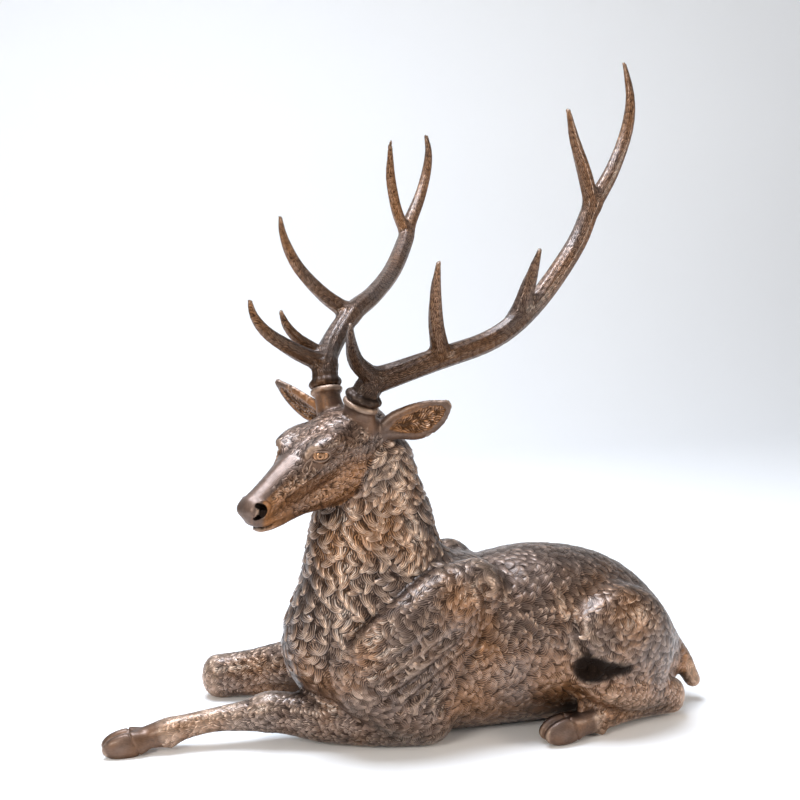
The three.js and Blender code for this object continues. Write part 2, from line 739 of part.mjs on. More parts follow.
const bronze = () => new THREE.MeshStandardMaterial({ color: 0x6b4a32, metalness: 1, roughness: 0.42 });
const box = (...corners) => new THREE.Box3().setFromPoints(corners.map((c) => new THREE.Vector3(...c)));
const stag = new THREE.Group();
function cast(name, mesh, cutters) {
  let form = solid(mesh);
  for (const cutter of cutters) form = form.subtract(cutter);
  const casting = new THREE.Mesh(geometryOf(form), bronze());
  casting.name = name;
  stag.add(casting);
}
const bodyRoom = box([-900, -330, -40], [720, 400, 920]);
const body = thin(surface(bodyField, bodyRoom, BODY_STEP), BODY_TRIANGLES, bodyWeight);
cast("body", body, [ground, seatBlock(SEATS.left, 1), seatBlock(SEATS.right, 1)]);
const antler = (field, room) => thin(surface(field, room, ANTLER_STEP), ANTLER_TRIANGLES);
const leftRoom = box([-400, -270, 740], [560, 220, 1680]);
cast("antler_left", antler(leftAntler, leftRoom), [seatBlock(SEATS.left, -1)]);
const rightRoom = box([-560, -120, 760], [320, 760, 1520]);
cast("antler_right", antler(rightAntler, rightRoom), [seatBlock(SEATS.right, -1)]);

// The origin is the middle of the bounding box, on the ground.
const { min, max } = new THREE.Box3().setFromObject(stag);
stag.position.set(-(min.x + max.x) / 2, -(min.y + max.y) / 2, 0);
export default stag;
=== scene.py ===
# A life-size stag at rest, cast in bronze and patinated brown. The body is one casting, carved all over
# with curling tufts, and each antler is a casting of its own that stands on a pedicle.
from math import copysign, cos, exp, pi, radians, sin, sqrt

import bmesh
import bpy
import numpy as np
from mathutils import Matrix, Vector
from mathutils.bvhtree import BVHTree
from numpy.linalg import norm


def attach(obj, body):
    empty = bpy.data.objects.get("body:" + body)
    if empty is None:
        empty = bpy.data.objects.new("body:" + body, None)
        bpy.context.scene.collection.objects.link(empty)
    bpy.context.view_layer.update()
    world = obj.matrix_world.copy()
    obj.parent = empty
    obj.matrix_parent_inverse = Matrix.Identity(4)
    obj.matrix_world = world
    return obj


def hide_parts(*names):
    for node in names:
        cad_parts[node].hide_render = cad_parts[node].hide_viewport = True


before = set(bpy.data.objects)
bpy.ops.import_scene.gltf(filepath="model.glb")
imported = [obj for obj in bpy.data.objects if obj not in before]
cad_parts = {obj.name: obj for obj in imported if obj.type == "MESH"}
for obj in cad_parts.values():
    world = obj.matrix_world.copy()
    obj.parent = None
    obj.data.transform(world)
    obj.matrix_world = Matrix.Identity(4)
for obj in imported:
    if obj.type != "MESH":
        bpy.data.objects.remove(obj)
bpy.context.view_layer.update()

# ---------------------------------------------------------------- the body's form
# The foundry casts the whole animal, with its ears, legs and tail, as one hollow bronze. Its form is laid
# out from limbs with oval sections and swelling muscle masses, melted into each other like wax.
# Every length here is in millimetres from the spot on the ground below the withers.
GROUND_ORIGIN = np.array([99.145, -199.236, 0.0])  # from that spot to the origin of the finished piece


def to_room(p):
    return (p + GROUND_ORIGIN) / 1000


def from_room(p):
    return p * 1000 - GROUND_ORIGIN


def unit(v):
    v = np.asarray(v, float)
    return v / norm(v, axis=-1, keepdims=True).clip(1e-9)


class Limb:
    """Stations of x, y, z, half width and half depth, joined smoothly. The width lies along across."""

    BLEND_REACH = 80  # further out than this, no blend needs the true distance

    def __init__(self, stations, across=(0, 1, 0), steps=4):
        across = np.array(across, float)
        rows = np.array([list(s) + [s[3]] * (5 - len(s)) for s in stations], float)
        padded = np.vstack([rows[:1], rows, rows[-1:]])
        fine = []
        for k in range((len(rows) - 1) * steps + 1):
            i = min(k // steps, len(rows) - 2)
            t = k / steps - i
            a, b, c, d = padded[i : i + 4]
            ends = (2 * t**3 - 3 * t**2 + 1) * b + (3 * t**2 - 2 * t**3) * c
            fine.append(ends + (t**3 - 2 * t**2 + t) * (c - a) / 2 + (t**3 - t**2) * (d - b) / 2)
        fine = np.array(fine)
        self.foot, self.sizes = fine[:-1, :3], fine[:, 3:]
        step = fine[1:, :3] - fine[:-1, :3]
        self.length = norm(step, axis=1)
        self.run = np.concatenate([[0], np.cumsum(self.length)])
        self.along = unit(step)
        self.side = unit(across - self.along * (self.along @ across)[:, None])
        self.deep = np.cross(self.along, self.side)
        reach = self.sizes.max()
        self.low, self.high = fine[:, :3].min(0) - reach, fine[:, :3].max(0) + reach

    def measure(self, p):
        """At each point: distance, way along the limb, and the length run along it and turned round it."""
        out = np.maximum(self.low - p, p - self.high).max(1)
        way = np.tile(self.along[0], (len(p), 1))
        spot = np.zeros((len(p), 2))
        near = np.nonzero(out < self.BLEND_REACH)[0]
        q, best = p[near], np.full(len(near), np.inf)
        for k, length in enumerate(self.length):
            r = q - self.foot[k]
            run = r @ self.along[k]
            t = (run / length).clip(0, 1)
            width, depth = (self.sizes[k] + t[:, None] * (self.sizes[k + 1] - self.sizes[k])).T
            cap = np.minimum(width, depth)
            ends, side, deep = run - t * length, r @ self.side[k], r @ self.deep[k]
            k0 = np.sqrt((ends / cap) ** 2 + (side / width) ** 2 + (deep / depth) ** 2)
            k1 = np.sqrt((ends / cap**2) ** 2 + (side / width**2) ** 2 + (deep / depth**2) ** 2)
            d = np.where(k1 < 1e-9, -cap, k0 * (k0 - 1) / k1.clip(1e-9))
            closer = d < best
            best = np.where(closer, d, best)
            spot[near[closer]] = np.stack([self.run[k] + t * length, np.arctan2(deep, side) * cap], 1)[closer]
            way[near[closer]] = self.along[k]
        out[near] = best
        return out, way, spot

    def __call__(self, p):
        return self.measure(p)[0]


class Mass:
    """An egg from one end to the other, with its half width along across."""

    def __init__(self, start, end, half_width, half_depth, across=(0, 1, 0)):
        start, end, across = (np.array(v, float) for v in (start, end, across))
        self.centre = (start + end) / 2
        along = unit(end - start)
        side = unit(across - along * (along @ across))
        self.axes = np.stack([along, side, np.cross(along, side)])
        self.halves = np.array([norm(end - start) / 2, half_width, half_depth])

    def __call__(self, p):
        q = (p - self.centre) @ self.axes.T / self.halves
        k0, k1 = norm(q, axis=1), norm(q / self.halves, axis=1)
        return np.where(k1 < 1e-9, -self.halves.min(), k0 * (k0 - 1) / k1.clip(1e-9))


def melt(a, b, blend):
    h = np.maximum(blend - np.abs(a - b), 0) / blend
    return np.minimum(a, b) - h * h * blend / 4


def fuse(added, removed=()):
    """One field of [field, blend] pairs, added in turn or cut away."""

    def field(p):
        d = added[0][0](p)
        for form, blend in added[1:]:
            d = melt(d, form(p), blend)
        for form, blend in removed:
            d = -melt(-d, form(p), blend)
        return d

    return field


def smooth(t):
    t = np.clip(t, 0, 1)
    return t * t * (3 - 2 * t)


LINE_REACH, RELIEF_REACH = 45, 30  # further off, no line and no relief counts


def from_line(p, line):
    """Each point's distance to a line through places, and the share of the line run there."""
    line = np.array(line, float)
    out, share = np.full(len(p), 1e3), np.zeros(len(p))
    near = np.nonzero(((p > line.min(0) - LINE_REACH) & (p < line.max(0) + LINE_REACH)).all(1))[0]
    for k in range(len(line) - 1):
        step = line[k + 1] - line[k]
        t = ((p[near] - line[k]) @ step / (step @ step)).clip(0, 1)
        d = norm(p[near] - line[k] - t[:, None] * step, axis=1)
        closer = d < out[near]
        out[near[closer]], share[near[closer]] = d[closer], (k + t[closer]) / (len(line) - 1)
    return out, share


def dressed(field, *reliefs):
    """A field whose surface stands out by the sum of the reliefs."""

    def raised(p):
        d = field(p)
        close = np.abs(d) < RELIEF_REACH
        if close.any():
            d[close] -= sum(relief(p[close]) for relief in reliefs)
        return d

    return raised


def welt(line, half, rise):
    """A ridge, or a groove where rise is negative, that dies out at both ends of its line."""

    def relief(p):
        d, share = from_line(p, line)
        return rise * np.exp(-((d / half) ** 2)) * smooth(share * 8) * smooth((1 - share) * 8)

    return relief


trunk = Limb([
    (-300, 0, 235, 120, 145), (-200, 0, 225, 165, 200), (-40, 0, 215, 185, 222), (60, 0, 205, 192, 212),
    (200, 0, 215, 192, 222), (320, 0, 205, 178, 208), (410, 0, 172, 150, 172), (475, 0, 140, 120, 132),
    (540, 0, 105, 78, 70),
])
neck = Limb([
    (-215, 0, 250, 165, 178), (-205, 0, 380, 140, 172), (-202, 5, 490, 115, 155), (-202, 12, 585, 96, 124),
    (-196, 20, 670, 80, 94),
])
tail = Limb([(540, 0, 190, 40, 40), (605, -15, 120, 34, 28), (640, -30, 55, 24, 20)])

# The head has axes of its own: u towards the nose, v to the stag's left, w up through the crown.
HEAD_TURN, HEAD_DIP = radians(36), radians(11)
POLL = np.array([-225.0, 22, 736])
HEAD_AXES = np.array([
    [-cos(HEAD_DIP) * cos(HEAD_TURN), -cos(HEAD_DIP) * sin(HEAD_TURN), -sin(HEAD_DIP)],
    [sin(HEAD_TURN), -cos(HEAD_TURN), 0],
    [-sin(HEAD_DIP) * cos(HEAD_TURN), -sin(HEAD_DIP) * sin(HEAD_TURN), cos(HEAD_DIP)],
])


def on_head(u, v, w):
    return POLL + np.array([u, v, w], float) @ HEAD_AXES


def from_head(p):
    """How far each point lies from the poll along u, v and w."""
    return (p - POLL) @ HEAD_AXES.T


def head_welt(line, half, rise, s=1):
    """A welt on the head, on its right half where s is -1."""
    return welt([on_head(u, s * v, w) for u, v, w in line], half, rise)


def head_limb(rows, across=(0, 1, 0)):
    return Limb([(*on_head(*r[:3]), *r[3:]) for r in rows], across=np.array(across, float) @ HEAD_AXES)


def head_mass(start, end, half_width, half_depth, across=(0, 1, 0)):
    return Mass(on_head(*start), on_head(*end), half_width, half_depth, np.array(across, float) @ HEAD_AXES)


skull = head_limb([
    (0, 0, 0, 74, 70), (80, 0, 14, 80, 68), (150, 0, 8, 78, 62), (215, 0, -8, 58, 53), (290, 0, -25, 42, 43),
    (340, 0, -36, 36, 37), (379, 0, -43, 34, 32),
])
jaw = head_limb([
    (70, 0, -78, 48, 50), (150, 0, -88, 42, 40), (240, 0, -84, 30, 28), (310, 0, -86, 26, 24),
    (345, 0, -88, 25, 19), (368, 0, -84, 22, 17),
])
# The middle of the left eye's opening, its long way forward, the way it looks, and the way up across it.
EYE_PLACE, EYE_WAY = np.array([214.0, 63.0, 28.5]), unit([0.724, -0.676, 0.131])
EYE_LOOK = unit(np.array([0.671, 0.734, 0.084]) - EYE_WAY * (EYE_WAY @ [0.671, 0.734, 0.084]))
EYE_UP = np.cross(EYE_WAY, EYE_LOOK)


def at_eye(s, along, up, out):
    """A place at the left eye where s is 1, or at the right, from the middle of its opening."""
    return (EYE_PLACE + along * EYE_WAY + up * EYE_UP + out * EYE_LOOK) * (1, s, 1)


MOUTH_LINE = [(410, -74), (392, -83), (378, -86), (363, -88), (349, -87.5), (330, -88.5), (311, -91.5)]
head_added, head_removed, face_reliefs, ears, nostrils = [[skull, 20], [jaw, 30]], [], [], [], []


def near_mouth(p, shift, half):
    """From 1 on the cut between the lips, seen from the side, to 0 away from it."""
    flat = from_head(p) * (1, 0, 1)
    d, _ = from_line(flat, [(u, 0, w + shift) for u, w in MOUTH_LINE])
    return np.exp(-((d / half) ** 2)) * smooth((MOUTH_LINE[0][0] - flat[:, 0]) / 14)


def mouth_cut(p):
    return 1.8 * near_mouth(p, 9, 5) - 5 * near_mouth(p, 0, 2.6) + 1.6 * near_mouth(p, -8, 5)


def ear_ribs(ear, faces):
    """Ribs of hair that run along the hollow of an ear and spread towards its edges."""
    facing = np.array(faces) @ HEAD_AXES

    def relief(p):
        d, way, spot = ear.measure(p)
        across = ((p - ear.foot[0]) * unit(np.cross(way, facing))).sum(1)
        return 1.1 * np.cos(across / 2.2 + spot[:, 0] / 30) * smooth((spot[:, 0] - 20) / 40)

    return relief


EAR_FACES = (0.8, 0.6, 0), (0.94, -0.1, -0.3)
for s, swing, lift, faces in ((1, 0, 0, EAR_FACES[0]), (-1, 122, 48, EAR_FACES[1])):

    def on_ear(t, v, rise, *sizes, s=s, swing=swing, lift=lift):
        return (12 - 107 * t + swing * t, s * (v + 0.22 * swing * t), 14 + rise + lift * t, *sizes)

    ear = head_limb([
        on_ear(0, 64, 0, 17, 20), on_ear(0.3, 98, 12, 15, 36), on_ear(0.55, 138, 17, 13, 45),
        on_ear(0.8, 176, 35, 11, 34), on_ear(1, 203, 54, 7, 8),
    ], faces)
    ears.append(ear)
    hollow = head_limb([
        [*(c + run * f for c, f in zip(on_ear(t, v, rise), faces)), width, depth]
        for t, v, rise, run, width, depth in (
            (0.1, 84, 6, 17, 8, 8), (0.3, 104, 13, 15, 10, 22), (0.55, 138, 17, 14, 11, 33),
            (0.78, 170, 33, 12, 8, 24), (0.9, 188, 43, 9.5, 5, 9))
    ], faces)
    head_added += [
        [head_mass((25, s * 45, -50), (165, s * 42, -60), 36, 52), 30],  # cheek
        [head_mass((128, s * 62, 50), (240, s * 50, 36), 24, 20), 26],  # brow
        [ear, 14],
        [head_mass((352, s * 24, -38), (408, s * 17, -40), 15, 17), 8],  # wing of the nose
    ]
    nostrils.append(head_limb([
        (391, s * 28, -27, 5), (381, s * 31, -36, 7.5), (383, s * 29, -46, 8), (398, s * 23, -54, 5)]))
    head_removed += [
        [head_mass(at_eye(s, -24, 0, 6), at_eye(s, 24, 0, 6), 11, 15, EYE_LOOK * (1, s, 1)), 10],
        [dressed(hollow, ear_ribs(ear, faces)), 3],
        [nostrils[-1], 2],
    ]
    face_reliefs += [
        head_welt(line, half, rise, s)
        for line, half, rise in (
            ([(384, 27, -17), (369, 32, -26), (363, 34, -40), (372, 33, -54), (392, 28, -60)], 3.2, 2.4),  # nostril
            ([(368, 30, -18), (357, 32, -30), (354, 33, -42), (362, 32, -58)], 3, -1.8),
            ([(205, 74, 6), (230, 60, -8), (270, 48, -20), (320, 38, -36)], 8, 3.2),
            ([(170, 84, -6), (205, 74, -20), (260, 52, -36), (310, 40, -50)], 12, -3.0),
            ([(150, 84, 30), (110, 90, 18), (60, 88, 12)], 9, 3.0),  # cheek bone
            ([(196, 70, 2), (176, 76, 4), (160, 82, 12)], 3, -1.6))  # fold below the eye
    ]
face_reliefs += [
    mouth_cut,
    head_welt([(378, 30, -16), (386, 14, -8), (389, 0, -6), (386, -14, -8), (378, -30, -16)], 2.4, -1.8),
    head_welt([(240, 0, 45), (290, 0, 20), (340, 0, 2)], 12, 2.0),  # bridge of the nose
]
head = dressed(fuse(head_added, head_removed), *face_reliefs)

# A seat is the plane where an antler meets its pedicle: on the head, and the antler's first way.
SEATS = {
    "left": dict(s=1, at=np.array([42.0, 54, 100]), way=unit([-0.3, 0.35, 0.89]), collar=44),
    "right": dict(s=-1, at=np.array([32.0, -64, 119]), way=unit([-0.35, -0.35, 0.87]), collar=39),
}
SEAM = 0.4


def along_seat(seat, run):
    return tuple(seat["at"] + run * seat["way"])


def level_axes(seat):
    up = seat["way"] @ HEAD_AXES
    level = unit(np.cross(up, (1.0, 0, 0)))
    return np.stack([level, np.cross(up, level), up])


def ring(seat, run, thick=10):
    """A rounded collar round the foot of an antler or the top of its pedicle."""
    centre, axes = on_head(*along_seat(seat, run)), level_axes(seat)

    def field(p):
        x, y, z = ((p - centre) @ axes.T).T
        return np.hypot(np.hypot(x, y) - seat["collar"] + thick, z) - thick

    return field


def pedicle(seat):
    stem = head_limb([(44, seat["s"] * 44, 38, 38), (*along_seat(seat, -20), seat["collar"] - 9),
                      (*along_seat(seat, 10), 32)])
    return fuse([[stem, 1], [ring(seat, -8.5, 8), 8]])


def beyond_seat(seat, side):
    """The block on one side of a seat's plane, above it where side is 1."""
    centre, axes = on_head(*along_seat(seat, side * (30 - SEAM / 2))), level_axes(seat)
    return lambda p: (np.abs((p - centre) @ axes.T) - np.array([60, 60, 30])).max(1)


# The legs lie folded, but for the left foreleg, which is stretched forward. s is -1 on the left side.
def shoulder(s, top):
    return Limb([(25, s * 108, top, 62, 72), (-75, s * 130, top - 52, 78, 108),
                 (-185, s * 138, top - 128, 84, 118), (-262, s * 120, top - 188, 76, 95)])


def upper_arm(s):
    return Limb([(-240, s * 130, 175, 72, 88), (-165, s * 138, 125, 72, 88), (-100, s * 128, 82, 62, 75)])


def haunch(s, drop):
    return fuse([
        [Mass((530, s * 120, 185 - drop), (225, s * 172, 222 - drop), 80, 160 - drop), 1],
        [Mass((465, s * 112, 322 - drop), (232, s * 185, 165 - drop), 72, 100), 40],
    ])


def shank(s):
    return Limb([(330, s * 192, 124, 44, 40), (400, s * 175, 106, 48, 50), (480, s * 142, 84, 36, 44),
                 (534, s * 118, 62, 33, 40)])


def hind_cannon(s):
    return Limb([(540, s * 114, 48, 32, 40), (470, s * 132, 44, 27, 30), (400, s * 152, 42, 25, 27),
                 (325, s * 174, 42, 28, 31), (282, s * 185, 42, 31, 33), (252, s * 192, 40, 27, 28)])


left_foreleg = Limb([
    (-95, -112, 64, 58, 66), (-190, -102, 64, 60, 65), (-327, -62, 64, 52, 58), (-420, -34, 76, 45, 50),
    (-468, -24, 80, 44, 49), (-512, -18, 74, 34, 38), (-590, -8, 68, 26, 29), (-660, -2, 56, 27, 29),
    (-702, 0, 46, 32, 34), (-745, 2, 38, 27, 28), (-775, 2, 34, 25, 24),
])
right_foreleg = Limb([(-230, 175, 130, 62, 66), (-300, 215, 110, 60, 64), (-380, 255, 90, 54, 60),
                      (-460, 285, 72, 47, 53), (-540, 308, 56, 45, 57)])
right_cannon = Limb([(-545, 308, 44, 36, 40), (-440, 272, 34, 27, 29), (-360, 245, 32, 29, 30),
                     (-325, 236, 32, 26, 26)])

# The folds of hide that the bent foreleg draws up on each shoulder.
FOLD_PITCH, FOLD_SLOPE, FOLD_RISE = 36, radians(33), 9.5


def folds(p):
    across = (p[:, 2] * cos(FOLD_SLOPE) - p[:, 0] * sin(FOLD_SLOPE)) / FOLD_PITCH
    ridge = 0.5 - 0.5 * np.cos(2 * pi * across)
    fade = smooth(1.7 - 1.7 * np.hypot((p[:, 0] + 115) / 220, (p[:, 2] - 205) / 150))
    return FOLD_RISE * fade * (ridge**0.7 - 0.5)


def hoof(start, end, dewclaw, half_width, half_depth):
    """Two claws with a cleft between them, a cut line where the horn begins, and two dewclaws."""
    start, end = np.array(start, float), np.array(end, float)
    way = unit(end - start)
    side = unit(np.cross((0, 0, 1), way))
    claws = [Mass(start + c * side * half_width * 0.48, end + c * side * half_width * 0.42,
                  half_width * 0.56, half_depth, side) for c in (-1, 1)]
    roots = [dewclaw + c * side * half_width * 0.45 for c in (-1, 1)]
    buds = [[Mass(root, root + way * 24 - np.array([0, 0, 9]), 9, 10, side), 4] for root in roots]
    length = norm(end - start)

    def horn(p):
        run = (p - start) @ way - 0.3 * (p[:, 2] - start[2])  # the line leans back towards the heel
        off = run - 0.36 * length
        inside = smooth(((p - start) @ way + 25) / 10)
        return inside * (1.6 * smooth(-off / 3) - 3.0 * np.exp(-((off / 2.2) ** 2)) * (np.abs(off) < 12))

    split = Mass(start + way * 0.2 * length + (0, 0, 6), end + way * 14 + (0, 0, 10), 2.4, half_depth + 12, side)
    claw_field = dressed(fuse([[claws[0], 1], [claws[1], 3]], [[split, 2]]), horn)
    return fuse([[claw_field, 1]] + buds)


HOOVES = [
    ((-742, 2, 34), (-858, 2, 20), (-686, 0, 28), 33, 31),
    ((-340, 240, 32), (-235, 205, 26), (-388, 254, 14), 30, 29),
    ((275, -186, 38), (160, -206, 27), (330, -172, 18), 34, 33),
    ((275, 186, 38), (160, 206, 27), (330, 172, 18), 34, 33),
]
# Deep creases part the shoulder from the mane and from the flank, and the thigh from the belly.
creases = [
    (((-14, -56, 429), (-93, -112, 433), (-157, -147, 406), (-215, -163, 368), (-268, -160, 322),
      (-322, -148, 262)), 11, -10.0),  # the edge of the mane
    (((5, -152, 425), (26, -175, 369), (30, -175, 307), (2, -186, 253), (-28, -188, 201), (-49, -178, 137),
      (-77, -187, 83)), 12, -11.0),  # behind the shoulder
    (((-304, -186, 204), (-273, -202, 189), (-234, -210, 170), (-198, -209, 141), (-174, -208, 102)), 8, -11.0),
    (((237, -141, 363), (236, -159, 335), (244, -183, 292), (254, -214, 252), (277, -238, 209)), 11, -11.0),
    (((380, -232, 154), (416, -218, 148), (475, -196, 138)), 8, -7.0),  # above the shank
]
creases += [([(x, -y, z) for x, y, z in line], half, rise) for line, half, rise in creases]

shoulders = [[shoulder(-1, 375), 24], [upper_arm(-1), 24], [shoulder(1, 366), 24], [upper_arm(1), 24]]
legs = [[left_foreleg, 16], [right_foreleg, 18], [right_cannon, 12]]
thighs, tucks = [], []  # a tuck is the deep gap between a thigh, the belly and the shank
for s, drop in ((-1, 8), (1, 38)):
    thighs.append(haunch(s, drop))
    tucks.append([Limb([
        (258, s * 250, 196 - drop, 40, 36), (284, s * 256, 192 - drop, 48, 27),
        (326, s * 256, 190 - drop, 42, 14), (372, s * 250, 190 - drop, 22, 4)]), 9])
    legs += [[thighs[-1], 26], [shank(s), 18], [hind_cannon(s), 14]]
body_form = dressed(
    fuse(
        [[trunk, 1], [neck, 60], [head, 22], [pedicle(SEATS["left"]), 12], [pedicle(SEATS["right"]), 12]]
        + [[dressed(form, folds), blend] for form, blend in shoulders]
        + legs
        + [[hoof(*h), 7] for h in HOOVES]
        + [[tail, 15]],
        [[beyond_seat(SEATS["left"], 1), 0.5], [beyond_seat(SEATS["right"], 1), 0.5]] + tucks,
    ),
    *[welt(*crease) for crease in creases],
)


def read(items, key, width=3, kind=float):
    """One property of all the items of a mesh, a row for each."""
    flat = np.empty(width * len(items), kind)
    items.foreach_get(key, flat)
    return flat.reshape(-1, width)


def points_of(mesh):
    return from_room(read(mesh.vertices, "co"))


def set_points(mesh, p):
    mesh.vertices.foreach_set("co", to_room(p).ravel())
    mesh.update()


def lay_on(form, p, rounds, floor=0.0):
    """Moves points onto a form's surface, but not below the floor."""
    for _ in range(rounds):
        d = form(p)
        slope = np.stack([form(p + 0.4 * e) - d for e in np.eye(3)], 1) / 0.4
        p = p - slope * (d / (slope**2).sum(1).clip(0.3)).clip(-8, 8)[:, None]
        p[:, 2] = np.maximum(p[:, 2], floor)
    return p


def relaxed(mesh, p, rounds):
    """The points drawn towards the middle of their neighbours, so that the mesh stays even."""
    a, b = read(mesh.edges, "vertices", 2, np.int32).T
    count = (np.bincount(a, minlength=len(p)) + np.bincount(b, minlength=len(p)))[:, None]
    for _ in range(rounds):
        total = [np.bincount(a, p[b, k], len(p)) + np.bincount(b, p[a, k], len(p)) for k in range(3)]
        p = p + 0.5 * (np.stack(total, 1) / count - p)
    return p


def normals_of(mesh):
    return read(mesh.vertex_normals, "vector")


def slid(mesh):
    """The points relaxed along the surface alone, so that no tip or edge is lost."""
    p, out = points_of(mesh), normals_of(mesh)
    move = relaxed(mesh, p, 1) - p
    return p + move - out * (move * out).sum(1)[:, None]


def shown(name, data):
    piece = bpy.data.objects.new(name, data)
    bpy.context.scene.collection.objects.link(piece)
    return piece


def evaluated(piece):
    mesh = bpy.data.meshes.new_from_object(piece.evaluated_get(bpy.context.evaluated_depsgraph_get()))
    piece.modifiers.clear()
    piece.data = mesh
    return mesh


def shade_smooth(mesh):
    mesh.polygons.foreach_set("use_smooth", np.ones(len(mesh.polygons), bool))


def casting(name, node, pitch, form, finer=()):
    """The CAD solid remeshed evenly and laid on its form, and halved at each finer place."""
    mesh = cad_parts[node].data.copy()
    bm = bmesh.new()
    bm.from_mesh(mesh)
    bmesh.ops.remove_doubles(bm, verts=bm.verts, dist=1e-5)
    bm.to_mesh(mesh)
    piece = shown(name, mesh)
    even = piece.modifiers.new("even", "REMESH")
    even.mode, even.voxel_size = "VOXEL", pitch / 1000
    mesh = evaluated(piece)
    set_points(mesh, lay_on(form, points_of(mesh), 3))
    set_points(mesh, lay_on(form, slid(mesh), 2))
    for near in finer:
        p = points_of(mesh)
        inside = near(p)
        bm.clear()
        bm.from_mesh(mesh)
        bm.verts.ensure_lookup_table()
        chosen = [f for f in bm.faces if all(inside[v.index] for v in f.verts)]
        edges = list({e for f in chosen for e in f.edges})
        bmesh.ops.subdivide_edges(bm, edges=edges, cuts=1, use_grid_fill=True)
        bm.to_mesh(mesh)
        p = slid(mesh)
        inside = near(p)
        p[inside] = lay_on(form, p[inside], 3)
        set_points(mesh, p)
    bm.free()
    mesh.materials.clear()
    shade_smooth(mesh)
    return piece


def near_places(*balls):
    def near(p):
        return np.any([norm(p - np.array(c), axis=1) < r for c, r in balls], axis=0)

    return near


def note(mesh, name, values):
    kind = "FLOAT_VECTOR" if values.ndim == 2 else "FLOAT"
    layer = mesh.attributes.new(name, kind, "POINT")
    layer.data.foreach_set("vector" if values.ndim == 2 else "value", np.asarray(values, np.float32).ravel())


def daylight(mesh, rays, reach):
    """The share of each point's outlook that is open, from 0 in a deep recess to 1 on a crown."""
    co, normal = read(mesh.vertices, "co"), normals_of(mesh)
    mesh.calc_loop_triangles()
    tris = read(mesh.loop_triangles, "vertices", 3, np.int32)
    tree = BVHTree.FromPolygons(co.tolist(), tris.tolist(), all_triangles=True)
    golden = pi * (3 - sqrt(5))
    open_sky = np.zeros(len(co))
    for k in range(rays):
        up = 1 - (k + 0.5) / rays
        out = sqrt(1 - up * up)
        ball = np.array([out * cos(golden * k), out * sin(golden * k), up])
        way = unit(normal * 1.02 + ball)
        for i, (spot, w) in enumerate(zip(co + normal * 0.002, way)):
            if tree.ray_cast(spot, w, reach)[0] is None:
                open_sky[i] += 1
    return open_sky / rays


# The mesh is halved inside balls, each a centre and a radius, and twice or three times on the small features.
face_ball = (on_head(185, 0, -20), 262)
toes = [((np.array(h[0]) + h[1]) / 2, 80) for h in HOOVES]
features = [(on_head(220, s * 58, 20), 50) for s in (1, -1)] + [(on_head(372, 0, -45), 56)]
features += [(0.55 * np.array(h[0]) + 0.45 * np.array(h[1]), 55) for h in HOOVES]
ear_balls = [(ear.foot[k], 62) for ear in ears for k in (5, 13)]
finest = [(on_head(385, s * 28, -40), 26) for s in (1, -1)]
shoulder_balls = [((-110, s * 190, 215), 165) for s in (1, -1)]
BODY_PITCH, ANTLER_PITCH = 10.6, 4.0
stag = casting("stag_body", "body", BODY_PITCH, body_form, [
    near_places(face_ball, *shoulder_balls, *ear_balls, *toes), near_places(*features, *ear_balls),
    near_places(*finest)])

# Which way the hide grows at each point, and what kind of hide it is there.
hide = stag.data
skin, normal = points_of(hide), normals_of(hide)
limbs = [(trunk, 1, "flank"), (neck, -1, "mane"), (skull, -1, "face"), (jaw, -1, "face"), (tail, 1, "leg")]
limbs += [(form, 1, "flank") for form, _ in shoulders]
limbs += [(form, 1, "leg") for form in (left_foreleg, right_foreleg, right_cannon)]
limbs += [(bone(s), 1, "leg") for bone in (shank, hind_cannon) for s in (-1, 1)]
limbs += [(ear, 1, "ear") for ear in ears]
flow, closest, kind = np.zeros_like(skin), np.full(len(skin), np.inf), np.full(len(skin), "flank")


FLOW_BLEND = 14


def claim(name, d, way):
    """Marks the points that are nearest to a form, and leads the hide along the form's way."""
    global flow, closest
    flow = flow + way * np.exp(-(d.clip(0) / FLOW_BLEND))[:, None]
    kind[d < closest] = name
    closest = np.minimum(closest, d)


for form, sense, name in limbs:
    d, way, _ = form.measure(skin)
    claim(name, d, sense * way)
for form in thighs:
    claim("flank", form(skin), np.array([-0.375, 0, -1.5]))
for seat in SEATS.values():
    kind[pedicle(seat)(skin) < closest] = "ear"
for start, end, *_ in HOOVES:
    way = unit(np.array(end, float) - start)
    along = (skin - start) @ way
    aside = norm(skin - start - along[:, None] * way, axis=1)
    kind[(along > -26) & (aside < 75) & (skin[:, 2] < 75)] = "hoof"
hollowed = np.zeros(len(skin))
for s, ear, faces in zip((1, -1), ears, EAR_FACES):
    d, way, spot = ear.measure(skin)
    inner = smooth((-d - 1.5) / 4) * smooth((spot[:, 0] - 15) / 20) * (kind == "ear")
    fan = unit(np.cross(way, np.array(faces) @ HEAD_AXES))
    nearest = np.abs(spot[:, :1] - ear.run[:-1]).argmin(1)
    aside = ((skin - ear.foot[nearest]) * fan).sum(1)
    flow += fan * (np.sign(aside) * inner * 0.9)[:, None]
    hollowed = np.maximum(hollowed, inner)
flow += (np.random.default_rng(3).random(flow.shape) - 0.5) * 1e-3
flow = unit(flow - normal * (flow * normal).sum(1)[:, None])


def mane_end(z):
    """The mane ends at this x, where the crease runs from the withers to the point of the shoulder."""
    return np.interp(z, [170, 265, 310, 360, 402, 452, 480], [-345, -335, -292, -228, -165, -62, 400])


in_mane = np.isin(kind, ["mane", "flank"]) & (skin[:, 2] > 170) & (skin[:, 0] < mane_end(skin[:, 2]))
kind[in_mane], kind[(kind == "mane") & ~in_mane] = "mane", "flank"
note(hide, "flow", flow)
note(hide, "across", unit(np.cross(flow, normal)))


def softened(values, rounds):
    return relaxed(hide, np.stack([values] * 3, 1), rounds)[:, 0]


